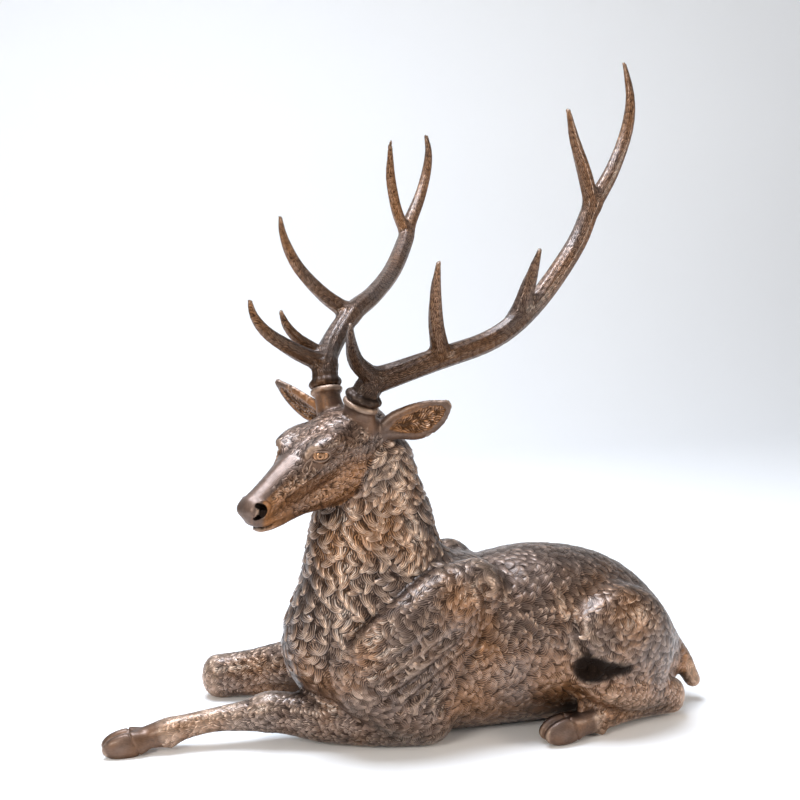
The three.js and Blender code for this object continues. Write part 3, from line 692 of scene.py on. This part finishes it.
uvw = from_head(skin)
u_at, v_at, w_at = uvw[:, 0], np.abs(uvw[:, 1]), uvw[:, 2]
bridge = smooth((u_at - 225) / 40) * smooth((w_at + 10 + (u_at - 225) * 0.16) / 12) * smooth((34 - v_at) / 14)
about_eye = sum(
    smooth(2.2 - norm((uvw * (1, s, 1) - EYE_PLACE - (4, -4, -3)) * (1, 1, 1.25), axis=1) / 20)
    for s in (1, -1))
bare = np.clip(bridge + smooth((u_at - 340) / 25) + about_eye + smooth(-(w_at + 68) / 8) * (u_at > 290), 0, 1)
bare = np.where(kind == "face", bare, np.isin(kind, ["ear", "hoof"]) * (1 - hollowed))
note(hide, "bare", softened(bare, 3))
for name in ("flank", "leg", "face", "ear", "hoof"):
    note(hide, name, (kind == name) * (bare < 0.35) * (1 - bare))
# The tint mark: warmer in the ear hollows, on the legs and lower on the face, cooler on the tip of the nose; and a
# painted sky sheen, cooler, on the bridge of the nose and on every face turned up.
warm = (hollowed * 0.5 + (kind == "face") * (smooth((10 - w_at) / 60) * 0.2 - bridge * 0.35)
        + (kind == "leg") * 0.05)
note(hide, "warm", warm - smooth((u_at - 372) / 15) * (kind == "face") * 0.25 - 0.13 * normal[:, 2].clip(0))
# Painted shade: each point's open share of sky, lowered further in the ear hollows, along the mouth, in the tucks,
# along the creases and inside the nostrils, darkens the hide's colour.
SKY_RAYS, SKY_REACH = 12, 0.35
light = daylight(hide, SKY_RAYS, SKY_REACH)
light = softened(light, 3) * (1 - 0.35 * hollowed)
light *= 1 - 0.85 * near_mouth(skin, 0, 2.2) * (v_at < 45)
# Painted shadow in the deep gap between each thigh, the belly and the shank.
for tuck, _ in tucks:
    light *= 1 - 0.9 * smooth((20 - tuck(skin)) / 20) * smooth((250 - abs(skin[:, 1])) / 13)
for line, half, _ in creases:
    light *= 1 - welt(line, half, 0.6)(skin)
# Painted shade, near black, inside each nostril.
for nostril in nostrils:
    light *= 0.08 + 0.92 * smooth((nostril(skin) - 0.4) / 2.5)
note(hide, "daylight", light)
note(hide, "crown", softened(-((relaxed(hide, skin, 2) - skin) * normal).sum(1), 1))


class Wire:
    """A socket of a node tree. Arithmetic on it adds Math nodes."""

    def __init__(self, wiring, socket):
        self.wiring, self.socket = wiring, socket

    def math(self, operation, *values):
        return self.wiring.node("ShaderNodeMath", {"operation": operation}, dict(enumerate(values)))

    def __add__(self, other):
        return self.math("ADD", self, other)

    def __sub__(self, other):
        return self.math("SUBTRACT", self, other)

    def __rsub__(self, other):
        return self.math("SUBTRACT", other, self)

    def __mul__(self, other):
        return self.math("MULTIPLY", self, other)

    def __pow__(self, other):
        return self.math("POWER", self, other)

    __radd__, __rmul__ = __add__, __mul__

    def sine(self):
        return self.math("SINE", self)

    def other(self, name):
            return Wire(self.wiring, self.socket.node.outputs[name])


class Wiring:
    def __init__(self, tree):
        self.tree = tree

    def node(self, kind, settings=None, inputs=None, out=0):
        made = self.tree.nodes.new(kind)
        for key, value in (settings or {}).items():
            setattr(made, key, value)
        for key, value in (inputs or {}).items():
            if isinstance(value, Wire):
                self.tree.links.new(value.socket, made.inputs[key])
            else:
                made.inputs[key].default_value = value
        return Wire(self, made.outputs[out]) if len(made.outputs) else made

    def vector(self, operation, *values, out=0):
        return self.node("ShaderNodeVectorMath", {"operation": operation}, dict(enumerate(values)), out)

    def scaled(self, vector, scale):
        return self.node("ShaderNodeVectorMath", {"operation": "SCALE"}, {0: vector, "Scale": scale})

    def noise(self, place, scale, detail):
        return self.node("ShaderNodeTexNoise", {}, {"Vector": place, "Scale": scale, "Detail": detail})

    def attribute(self, name, out="Fac"):
        return self.node("ShaderNodeAttribute", {"attribute_name": name}, out=out)

    def between(self, factor, a, b):
        return self.node("ShaderNodeMix", {"data_type": "RGBA"}, {0: factor, 6: a, 7: b}, out=2)

    def limited(self, value, low=0.0, high=1.0):
        """The value's place between low and high, kept from 0 to 1."""
        return self.node("ShaderNodeMapRange", {}, {"Value": value, "From Min": low, "From Max": high})


# The patina: near black where the wax and dirt stay in the grooves, and near black too as painted shade wherever
# the daylight share is low; brown on the flats; and rubbed bright on the ridges, partly real rubbing and partly a
# painted highlight.
PATINA_AND_PAINTED_SHADE, BROWN, COOL = (0.007, 0.0032, 0.0015, 1), (0.165, 0.082, 0.042, 1), (0.155, 0.1, 0.075, 1)
# The bright rubbed colour is real wear on the ridges that also serves as a painted highlight.
WORN_AND_PAINTED_HIGHLIGHT, AMBER = (0.76, 0.54, 0.39, 1), (0.32, 0.138, 0.046, 1)
METAL, ROUGH, COAT_ROUGH, COAT_IOR = 0.9, 0.42, 0.26, 1.6


def bronze(name, relief, depth, groove, gloss=0.0, wear_and_highlight=0.8):
    """Cast bronze. relief gives a height from 0 to 1, whose foot is a dark groove where groove is 1: patina in the
    groove, deepened by painted shade where the daylight share is low.
    """
    material = bpy.data.materials.new(name)
    material.use_nodes = True
    material.node_tree.nodes.clear()
    w = Wiring(material.node_tree)
    place = w.node("ShaderNodeTexCoord", out="Object")
    height = relief(w, place)
    # The tint mark leads the cool tint and the amber: on faces turned up it paints a cool sky sheen, and on the
    # antlers' faces turned down a warm reflection.
    patches = w.noise(place, 7.0, 3.0) + w.attribute("warm")
    grains = w.noise(place, 160.0, 3.0) - 0.5
    tint = w.between(w.limited(patches, 0.42, 0.6), COOL, BROWN)
    warmth = w.noise(place, 3.7, 2.0) + w.attribute("warm") + grains * 0.2
    tint = w.between(w.limited(warmth, 0.5, 0.76), tint, AMBER)
    low = w.limited(height + grains * 0.25, 0.12, 0.6)
    shade = w.limited(w.attribute("daylight"), 0.1, 0.7)
    # Patina and painted shade: the grooves go dark, the more so where the daylight share is low.
    tint = w.between((1 - low * shade) * groove, tint, PATINA_AND_PAINTED_SHADE)
    # Painted shade: the tint goes towards near black wherever the daylight share is low, in recesses, creases and
    # gaps.
    tint = w.between((1 - shade) * 0.9, tint, PATINA_AND_PAINTED_SHADE)
    high = w.limited(height + grains * 0.3, 0.64, 1.0)
    rubbed = w.limited(w.attribute("crown"), 0.1, 0.9)
    # Painted highlight as well as wear: ridges and crowns turn bright only where the daylight share is open.
    worn = w.limited(high * 0.7 + rubbed * 0.45, 0.15, 1.0) * shade
    tint = w.between(worn * wear_and_highlight, tint, WORN_AND_PAINTED_HIGHLIGHT)
    bump = w.node("ShaderNodeBump", {}, {"Strength": 1.0, "Distance": depth, "Height": height + grains * 0.06})
    bare = w.attribute("bare")
    shader = w.node("ShaderNodeBsdfPrincipled", {}, {
        "Base Color": tint, "Metallic": METAL,
        "Roughness": ROUGH - gloss - worn * 0.08 + (1 - low) * 0.2 + bare * 0.1,
        "Coat Weight": shade * (0.05 + low * 0.7) * (1 - bare * 0.6), "Coat Roughness": COAT_ROUGH,
        "Coat IOR": COAT_IOR, "Normal": bump})
    w.node("ShaderNodeOutputMaterial", {}, {"Surface": shader})
    return material


def curls(across, along, sense, lines, phase):
    """Strands that bend round a point beside each tuft, nested like the lines of a shell."""
    aside = across - sense
    radius = (aside * aside + along * along) ** 0.5
    return (radius * (2 * pi * lines) + phase).sine() * 0.5 + 0.5


def engraved(cell, lines, gaps=1.0):
    """Tufts cut into the surface, each in a cell of its own that follows the way the hide grows."""

    def relief(w, place):
        spot = w.scaled(place, 1000 / cell)
        cells = w.node("ShaderNodeTexVoronoi", {}, {"Vector": spot, "Scale": 1.0}, out="Position")
        off = w.vector("SUBTRACT", spot, cells)
        across = w.vector("DOT_PRODUCT", off, w.attribute("across", "Vector"), out="Value")
        along = w.vector("DOT_PRODUCT", off, w.attribute("flow", "Vector"), out="Value")
        chance = w.node("ShaderNodeSeparateColor", {}, {0: cells.other("Color")})
        side = (chance.math("GREATER_THAN", chance, 0.5) - 0.5) * 2
        other = chance.other("Green")
        reach = side * (other * 1.3 + 0.7)
        strands = curls(across * 1.4, along * 1.2 + (chance.other("Blue") * 0.9 - 0.1), reach, lines, other * 9)
        gap = w.limited(cells.other("Distance"), 0.38, 0.72) * gaps
        tuft = w.limited(strands * 0.68 * (1 - gap * 0.6) + w.limited(along, -0.6, 0.6) * 0.35 - gap * 0.25)
        bare = w.attribute("bare")
        fine = curls(across * 1.4, along * 0.35, reach * 2, lines * 1.5, other * 9)
        return tuft * (1 - bare) + (fine * 0.09 + w.noise(place, 45.0, 3.0) * 0.4 + 0.28) * bare

    return relief


hide.materials.append(bronze("engraved hide bronze", engraved(17, 2.2), 0.0011, 0.8))
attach(stag, "root")
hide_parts("body")

# ---------------------------------------------------------------- eyes
# Each eyeball is chased smooth and brighter than the hide, with a cut ring for the iris and a dent for the
# pupil. Two rolled lids and a thin fold outside each of them close round it. All are part of the casting.
EYE_RADIUS, EYE_BACK = 30, 27  # the ball, and how far its middle lies behind the opening
IRIS, PUPIL = 9.5, 4.8


def tube(line, thick, sides=10):
    """A roll along a line of places, with its radius at each and closed ends."""
    line = np.array(line, float)
    verts, faces = [], []
    ways = unit(np.gradient(line, axis=0))
    side = np.cross(ways[0], ways[len(ways) // 2] + (0.1, 0.2, 0.3))
    for k, (spot, way, radius) in enumerate(zip(line, ways, thick)):
        side = unit(side - way * (side @ way))
        other = np.cross(way, side)
        for m in range(sides):
            turn = 2 * pi * m / sides
            verts.append(spot + radius * (cos(turn) * side + sin(turn) * other))
        if k:
            a, b = (k - 1) * sides, k * sides
            faces += [(a + m, a + (m + 1) % sides, b + (m + 1) % sides, b + m) for m in range(sides)]
    faces += [tuple(reversed(range(sides))), tuple(range(len(verts) - sides, len(verts)))]
    return np.array(verts), faces


def eyeball(s, rings=26, sides=36):
    verts, faces = [on_head(*at_eye(s, 0, 0, EYE_RADIUS - EYE_BACK - 1.2))], []
    for k in range(1, rings + 1):
        turn = 1.35 * k / rings
        run = EYE_RADIUS * turn
        radius = EYE_RADIUS - exp(-((run - IRIS) ** 2)) - 1.4 * float(smooth(1 - run / PUPIL))
        out, up = radius * sin(turn), radius * cos(turn) - EYE_BACK
        for m in range(sides):
            a = 2 * pi * m / sides
            verts.append(on_head(*at_eye(s, out * cos(a), out * sin(a), up)))
        for m in range(sides):
            n = (m + 1) % sides
            b, c = 1 + (k - 1) * sides, 1 + (k - 2) * sides
            faces.append((0, 1 + m, 1 + n) if k == 1 else (c + m, b + m, b + n, c + n))
    faces.append(tuple(range(len(verts) - sides, len(verts))))
    return np.array(verts), faces


def lid(s, reach, height, out, thick):
    """A rolled lid: an arc over the eyeball from the front corner to the back one."""
    line, sizes = [], []
    for k in range(29):
        turn = pi * k / 28
        x, y = reach * cos(turn), height * sin(turn) ** 1.1
        z = sqrt(max(EYE_RADIUS**2 - x * x - y * y, 60)) - EYE_BACK + out
        line.append(on_head(*at_eye(s, x, y, z)))
        sizes.append(thick * (0.45 + 0.55 * sin(turn)))
    return tube(line, sizes)


def joined(name, shapes):
    """One mesh of several closed shapes, with every face turned outwards."""
    mesh, start, verts, faces = bpy.data.meshes.new(name), 0, [], []
    for more, around in shapes:
        verts.append(more)
        faces += [tuple(start + v for v in f) for f in around]
        start += len(more)
    mesh.from_pydata(to_room(np.vstack(verts)).tolist(), [], faces)
    bm = bmesh.new()
    bm.from_mesh(mesh)
    bmesh.ops.recalc_face_normals(bm, faces=bm.faces)
    bm.to_mesh(mesh)
    bm.free()
    shade_smooth(mesh)
    return shown(name, mesh)


def faint(w, place):
    return w.noise(place, 420.0, 2.0) * 0.25 + 0.45


eyeballs = joined("eyeballs", [eyeball(1), eyeball(-1)])
# A thin raised loop hangs from the front corner of each eye, and a crease runs back from the other corner.
DROP = [(226, 45, 27), (233, 42, 23), (244, 42, 17), (252, 43, 11), (257, 44, 5), (257, 46, 0), (252, 49, -3),
        (246, 50, 0), (241, 50, 6), (235, 49, 13), (229, 47, 20), (226, 46, 26)]
hide_tree = BVHTree.FromObject(stag, bpy.context.evaluated_depsgraph_get())


def on_skin(u, v, w, out):
    spot, up, _, _ = hide_tree.find_nearest(Vector(to_room(on_head(u, v, w))))
    return from_room(np.array(spot + up * (out / 1000)))


def strand(line, s, thick, out):
    middle = Limb([(u, s * v, w, 1) for u, v, w in line]).foot
    return tube([on_skin(*spot, out) for spot in middle], [thick] * len(middle), 8)


LIDS = (23, 12, 1.2, 2.7), (22.5, -11.5, 1.0, 2.6), (26, 17.5, 0.2, 1.7)
lids = joined("eyelids", [lid(s, *sizes) for s in (1, -1) for sizes in LIDS]
              + [strand(DROP, s, 2.0, 0.9) for s in (1, -1)])
polished = bronze("polished eye bronze", faint, 0.0001, 0.2, 0.16)
chased = bronze("chased bronze", faint, 0.0003, 0.3)
for piece, finish, warm_by in ((eyeballs, polished, 0.35), (lids, chased, 0.0)):
    spots = from_head(points_of(piece.data))
    spots[:, 1] = abs(spots[:, 1])
    away = np.hypot((spots - EYE_PLACE) @ EYE_WAY, (spots - EYE_PLACE) @ EYE_UP)
    # Painted shade on the eyeballs: darker in the cut ring of the iris, in the pupil's dent and towards the edge
    # under the lids.
    dark = np.exp(-(((away - IRIS) / 1.2) ** 2)) + smooth((away - 13) / 8) + 0.8 * smooth((4.5 - away) / 2)
    note(piece.data, "daylight", 0.75 - 0.6 * np.clip(dark, 0, 1) * (piece is eyeballs))
    note(piece.data, "crown", np.full(len(spots), 0.55))
    note(piece.data, "warm", np.full(len(spots), warm_by))
    piece.data.materials.append(finish)
    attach(piece, "root")

# ---------------------------------------------------------------- the coat's locks
# The hide is modelled in wax as hundreds of separate locks laid over each other, each with strands that
# bend to one side: long ones in rows round the mane, short ones on flanks and thighs, small ones on the legs.
LOCK_LENGTH, LOCK_BEND = 1.45, 1.9  # in widths of a lock, and the turn from root to tip
LOCK_CURLS = 1, -1, 0.6, -0.6
NECK_RADIUS, LOCK_PITCH, LOCK_ROW, CLIMB = 128, 24, 22, 0.75  # the mane's rows climb towards the nape


def lock_shape(name, columns, rows, curl, strands):
    """A lock one unit wide that sets off along +Y and bends to one side, to a free, pointed tip."""
    verts, lift, comb, faces = [], [], [], []
    round_at = LOCK_LENGTH / (LOCK_BEND * abs(curl))
    for r in range(rows + 1):
        along = r / rows
        turn = LOCK_BEND * abs(curl) * along
        middle = (round_at * (1 - cos(turn)), round_at * sin(turn) - 0.35)
        half = 0.5 * max(1 - along**1.7, 0.0) ** 0.75 + 0.02
        for c in range(columns + 1):
            aside = 2 * c / columns - 1
            x, y = middle[0] + aside * half * cos(turn), middle[1] - aside * half * sin(turn)
            verts.append((copysign(1, curl) * x, y, 0.0))
            crown = (0.1 + 0.9 * along**0.8) * (1 - abs(aside) ** 2.4)
            ridge = 1 + 0.16 * cos(pi * strands * aside)
            rim = r == rows or c in (0, columns)
            lift.append(-0.25 if rim else crown * ridge)
            comb.append((aside, along, curl))
    for r in range(rows):
        for c in range(columns):
            a = r * (columns + 1) + c
            quad = (a, a + 1, a + columns + 2, a + columns + 1)
            faces.append(quad if curl > 0 else quad[::-1])
    mesh = bpy.data.meshes.new(name)
    mesh.from_pydata(verts, [], faces)
    note(mesh, "lift", np.array(lift))
    note(mesh, "comb", np.array(comb))
    shade_smooth(mesh)
    return bpy.data.objects.new(name, mesh)


def coat(name, columns, rows, strands, width, rise, gap, region, material, seed, roots=None):
    """Locks of one kind, laid on the hide, scattered where the region's mark is or set at given roots."""
    drawer = bpy.data.collections.new(name + " locks")
    bpy.context.scene.collection.children.link(drawer)
    shapes = [lock_shape(f"{name}_{k}", columns, rows, curl, strands) for k, curl in enumerate(LOCK_CURLS)]
    for shape in shapes:
        drawer.objects.link(shape)
    inputs = {
        "Hide": ("Object", stag), "Roots": ("Object", roots), "Locks": ("Collection", drawer),
        "Width": ("Float", width / 1000), "Rise": ("Float", rise), "Gap": ("Float", gap / 1000),
        "Region": ("String", region), "Seed": ("Int", seed), "Finish": ("Material", material)}
    group = bpy.data.node_groups.new(name, "GeometryNodeTree")
    ids = {key: group.interface.new_socket(key, in_out="INPUT", socket_type="NodeSocket" + kind).identifier
           for key, (kind, _) in inputs.items()}
    group.interface.new_socket("Coat", in_out="OUTPUT", socket_type="NodeSocketGeometry")
    w = Wiring(group)
    given = {key: w.node("NodeGroupInput").other(key) for key in inputs}

    def geometry(kind, inputs, **settings):
        return w.node("GeometryNode" + kind, settings, inputs)

    def mark(key, kind="FLOAT"):
        return geometry("InputNamedAttribute", {"Name": key}, data_type=kind)

    def marked(place, key, value, kind="FLOAT"):
        return geometry("StoreNamedAttribute", {"Geometry": place, "Name": key, "Value": value}, data_type=kind)

    def chance(kind, first, low, high, seed):
        return w.node("FunctionNodeRandomValue", {"data_type": kind}, {first: low, first + 1: high, "Seed": seed},
                      out=first // 2)

    skin = geometry("ObjectInfo", {"Object": given["Hide"]}).other("Geometry")
    if roots is None:
        scattered = geometry("DistributePointsOnFaces", {
            "Mesh": skin, "Distance Min": given["Gap"], "Density Max": 1e5,
            "Density Factor": mark(given["Region"]),
            "Seed": given["Seed"]}, distribute_method="POISSON")
        points = marked(scattered, "up", scattered.other("Normal"), "FLOAT_VECTOR")
    else:
        rooted = geometry("ObjectInfo", {"Object": given["Roots"]}).other("Geometry")
        points = geometry("MeshToPoints", {"Mesh": rooted})
    points = marked(points, "size", given["Width"] * chance("FLOAT", 2, 0.85, 1.2, given["Seed"] + 1))
    jitter = chance("FLOAT_VECTOR", 0, (-0.3,) * 3, (0.3,) * 3, given["Seed"])
    turned = w.node("FunctionNodeAxesToRotation", {"primary_axis": "Z", "secondary_axis": "Y"}, {
        0: mark("up", "FLOAT_VECTOR"), 1: w.vector("ADD", mark("flow", "FLOAT_VECTOR"), jitter)})
    locks = geometry("CollectionInfo", {
        "Collection": given["Locks"], "Separate Children": True, "Reset Children": True})
    set_out = geometry("InstanceOnPoints", {
        "Points": points, "Instance": locks, "Pick Instance": True,
        "Instance Index": chance("INT", 4, 0, len(shapes) - 1, given["Seed"] + 2),
        "Rotation": turned, "Scale": mark("size")})
    spot = geometry("InputPosition", {})

    def beneath(value, kind="FLOAT"):
        return geometry("SampleNearestSurface", {"Mesh": skin, "Value": value, "Sample Position": spot},
                        data_type=kind)

    up = geometry("InputNormal", {})
    outward = w.scaled(beneath(up, "FLOAT_VECTOR"), mark("lift") * mark("size") * given["Rise"])
    laid = geometry("SetPosition", {
        "Geometry": geometry("RealizeInstances", {0: set_out}),
        "Position": w.vector("ADD", beneath(spot, "FLOAT_VECTOR"), outward)})
    # The locks take from the skin beneath them its daylight share, painted in as shade, and its tint mark with the
    # painted sky sheen.
    for key in ("daylight", "warm"):
        laid = marked(laid, key, beneath(mark(key)))
    w.node("NodeGroupOutput", {}, {0: geometry("SetMaterial", {"Geometry": laid, "Material": given["Finish"]})})

    piece = shown(name, bpy.data.meshes.new(name))
    modifier = piece.modifiers.new("coat", "NODES")
    modifier.node_group = group
    for key, (_, value) in inputs.items():
        modifier[ids[key]] = value
    mesh = evaluated(piece)
    for shape in shapes + ([roots] if roots else []):
        bpy.data.objects.remove(shape)
    bpy.data.collections.remove(drawer)
    shade_smooth(mesh)
    note(mesh, "crown", np.array([v.value for v in mesh.attributes["lift"].data]))
    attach(piece, "root")


def combed(lines):
    """Strands on a lock, which follow its own bend and are worn smooth in places."""

    def relief(w, place):
        across, along = (w.node("ShaderNodeSeparateXYZ", {}, {0: w.attribute("comb", "Vector")}, out=k)
                         for k in range(2))
        stray = (w.noise(place, 60.0, 1.0) - 0.5) * 0.5
        worn = w.limited(w.noise(place, 24.0, 2.0), 0.15, 0.7)
        strands = ((across + stray) * (pi * lines)).sine() * worn * 0.34 + 0.3
        rim = w.limited(across * across, 0.55, 1.0)
        return w.limited(strands * (1 - rim) + w.limited(along, 0.05, 0.75) * 0.42 - rim * 0.5)

    return relief


def mane_roots():
    """Rows of roots round the neck and down the chest, found by rays cast in at the neck's axis."""
    spots, at = [], []
    for row in range(-14, 34):
        for column in range(-22, 23):
            turn = (column + 0.5 * (row % 2)) * LOCK_PITCH / NECK_RADIUS
            z = 640 - row * LOCK_ROW + CLIMB * abs(turn) * NECK_RADIUS
            if abs(turn) > pi or not 185 < z < 720:
                continue
            out = np.array([-cos(turn), sin(turn), 0.0])
            start = np.array([-205.0, 8, z]) + out * 420
            hit = hide_tree.ray_cast(Vector(to_room(start)), Vector(-out), 0.42)[0]
            if hit is None:
                continue
            p = from_room(np.array(hit))
            nearest = int(norm(skin - p, axis=1).argmin())
            if kind[nearest] == "mane" and p[0] <= mane_end(p[2]) - 4:
                spots.append(tuple(hit))
                at.append(nearest)
    mesh = bpy.data.meshes.new("mane roots")
    mesh.from_pydata(spots, [], [])
    note(mesh, "up", normal[at])
    note(mesh, "flow", flow[at])
    return shown("mane_roots", mesh)


coat("mane_locks", 8, 6, 4, 30, 0.16, 0, "", bronze("mane bronze", combed(5.5), 0.0011, 0.95), 5, mane_roots())
coat("flank_locks", 6, 5, 3, 23, 0.06, 16.5, "flank", bronze("flank bronze", combed(5), 0.0008, 0.9), 6)
coat("leg_locks", 4, 4, 2, 17, 0.05, 12.5, "leg", bronze("leg bronze", combed(4.5), 0.0007, 0.9), 7)
coat("face_locks", 4, 4, 2, 12.5, 0.05, 9.5, "face", bronze("face bronze", combed(4), 0.0006, 0.85), 8)

# ---------------------------------------------------------------- antlers
# Each antler is cast on its own and pinned on its pedicle, where a fine seam shows under its coronet.
# Its bark is combed with short strokes that follow the beam and run out along every tine.
left_tines = [
    [(*along_seat(SEATS["left"], -20), 33), (22, 70, 138, 31), (-20, 92, 146, 29), (-145, 142, 154, 26),
     (-270, 190, 161, 25), (-355, 225, 189, 25), (-450, 257, 248, 25), (-560, 286, 338, 23.5),
     (-625, 300, 418, 22), (-700, 318, 490, 18.5), (-770, 330, 585, 15.5), (-800, 328, 665, 11),
     (-810, 310, 752, 4)],
    [(10, 78, 145, 24), (75, 86, 206, 18.5), (122, 118, 270, 12), (155, 155, 330, 4)],
    [(-155, 145, 165, 23), (-128, 162, 240, 18), (-105, 190, 330, 12.5), (-93, 220, 412, 4)],
    [(-365, 225, 200, 22), (-390, 250, 275, 17), (-405, 285, 368, 4)],
    [(-625, 300, 420, 20), (-618, 290, 505, 17), (-602, 280, 585, 12.5), (-588, 275, 675, 4)],
]
right_tines = [
    [(*along_seat(SEATS["right"], -20), 32), (14, -76, 158, 30), (-55, -115, 188, 27),
     (-180, -145, 236, 26), (-295, -168, 252, 23.5), (-455, -228, 275, 23), (-580, -275, 325, 22),
     (-625, -290, 362, 19), (-685, -293, 420, 16), (-735, -296, 485, 13), (-757, -298, 540, 9.5),
     (-762, -305, 590, 4)],
    [(0, -80, 165, 22), (58, -108, 208, 19), (115, -137, 266, 15), (140, -155, 318, 10),
     (142, -158, 362, 4)],
    [(-20, -100, 178, 16), (24, -137, 230, 13), (53, -144, 275, 9.5), (68, -140, 317, 4)],
    [(-180, -145, 236, 22), (-138, -186, 292, 18), (-103, -226, 368, 15), (-88, -247, 445, 10.5),
     (-90, -252, 503, 4)],
    [(-600, -288, 350, 16), (-586, -297, 410, 14.5), (-572, -292, 500, 12.5), (-568, -274, 603, 4)],
]


def flutes(limbs):
    """Flutes that wind a little as they run up the beam, and fade towards the tips."""

    def relief(p):
        closest, out = np.full(len(p), np.inf), np.zeros(len(p))
        for form in limbs:
            d, _, spot = form.measure(p)
            turn = spot[:, 1] / 24
            here = 0.8 * np.cos(9 * turn + spot[:, 0] / 60) * smooth(1.4 - spot[:, 0] / form.run[-1])
            out, closest = np.where(d < closest, here, out), np.minimum(d, closest)
        return out

    return relief


antler_bronze = bronze("combed antler bronze", engraved(11, 1.9, 0.35), 0.0008, 0.85, wear_and_highlight=0.4)
for side, tines, blends in (("left", left_tines, (14, 14, 14, 14)), ("right", right_tines, (14, 12, 14, 10))):
    seat, limbs = SEATS[side], [head_limb(rows, (0.3, 1, 0.2)) for rows in tines]
    form = fuse([[limbs[0], 1]] + [[limb, blend] for limb, blend in zip(limbs[1:], blends)]
                + [[ring(seat, 10), 6]], [[beyond_seat(seat, -1), 0.5]])
    antler = casting(f"antler_{side}_casting", f"antler_{side}", ANTLER_PITCH, dressed(form, flutes(limbs)))
    spots, around = points_of(antler.data), normals_of(antler.data)
    flow = np.zeros_like(spots)
    for limb in limbs:
        d, way, _ = limb.measure(spots)
        flow += way * np.exp(-(d.clip(0) / 6))[:, None]
    flow = unit(flow - around * (flow * around).sum(1)[:, None])
    note(antler.data, "flow", flow)
    note(antler.data, "across", unit(np.cross(flow, around)))
    # Painted shade: the antlers are darker towards their lower parts and lighter towards their tops.
    note(antler.data, "daylight", 0.36 + 0.64 * smooth((spots[:, 2] - 820) / 480))
    run = (spots - on_head(*seat["at"])) @ (seat["way"] @ HEAD_AXES)
    note(antler.data, "bare", smooth((30 - run) / 6))
    # Painted reflection: faces turned up get the cool sky tint, faces turned down a warmer amber.
    note(antler.data, "warm", 0.06 - 0.16 * around[:, 2])
    bend = ((relaxed(antler.data, spots, 2) - spots) * around).sum(1)
    note(antler.data, "crown", -bend - 0.25)
    antler.data.materials.append(antler_bronze)
    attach(antler, "root")
    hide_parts(f"antler_{side}")

# ---------------------------------------------------------------- floor, light and camera
# A pale sweep that rises behind the piece, soft lamps overhead and in front, and the view of the left side.
sweep = bpy.data.meshes.new("pale sweep")
DEPTH, RISE, BEND = 4.5, 6.0, 1.6
profile = [(-9.0, 0.0), (DEPTH - BEND, 0.0)]
profile += [(DEPTH - BEND + BEND * sin(a), BEND - BEND * cos(a))
            for a in np.linspace(0.1, pi / 2, 14)]
profile += [(DEPTH, RISE)]
corners = [(x, y, z) for y, z in profile for x in (-14, 14)]
strips = [(2 * k, 2 * k + 1, 2 * k + 3, 2 * k + 2) for k in range(len(profile) - 1)]
sweep.from_pydata(corners, [], strips)
shade_smooth(sweep)
paper = bpy.data.materials.new("pale paper")
paper.use_nodes = True
for key, value in (("Base Color", (0.9, 0.9, 0.9, 1)), ("Roughness", 0.9)):
    paper.node_tree.nodes["Principled BSDF"].inputs[key].default_value = value
sweep.materials.append(paper)
floor = shown("floor", sweep)


def lamp(name, place, towards, size, power, colour):
    data = bpy.data.lights.new(name, "AREA")
    data.shape, data.size, data.energy, data.color = "DISK", size, power, colour
    obj = shown(name, data)
    obj.location = place
    obj.rotation_euler = (Vector(towards) - Vector(place)).to_track_quat("-Z", "Y").to_euler()


lamp("sky", (-0.6, 0.2, 3.9), (0, 0, 0.6), 2.4, 250, (0.80, 0.88, 1.0))
lamp("front", (-2.9, -3.0, 2.3), (0, -0.2, 0.5), 1.5, 95, (1.0, 0.93, 0.84))
lamp("side", (3.4, -2.4, 1.5), (0.2, 0, 0.5), 1.6, 60, (1.0, 0.9, 0.78))
world = bpy.data.worlds.new("studio")
bpy.context.scene.world = world
world.use_nodes = True
for key, value in (("Color", (0.95, 0.97, 1.0, 1)), ("Strength", 0.36)):
    world.node_tree.nodes["Background"].inputs[key].default_value = value
bpy.context.scene.view_settings.view_transform = "Standard"

CAMERA_TURN, CAMERA_DIP = radians(15), radians(9.4)
lens = bpy.data.cameras.new("camera")
lens.lens, lens.sensor_width = 60.75, 36
camera = shown("camera", lens)
camera.location = to_room(np.array([-955.0, -3057.0, 1340.0]))
camera.rotation_euler = (pi / 2 - CAMERA_DIP, 0, -CAMERA_TURN)
bpy.context.scene.camera = camera
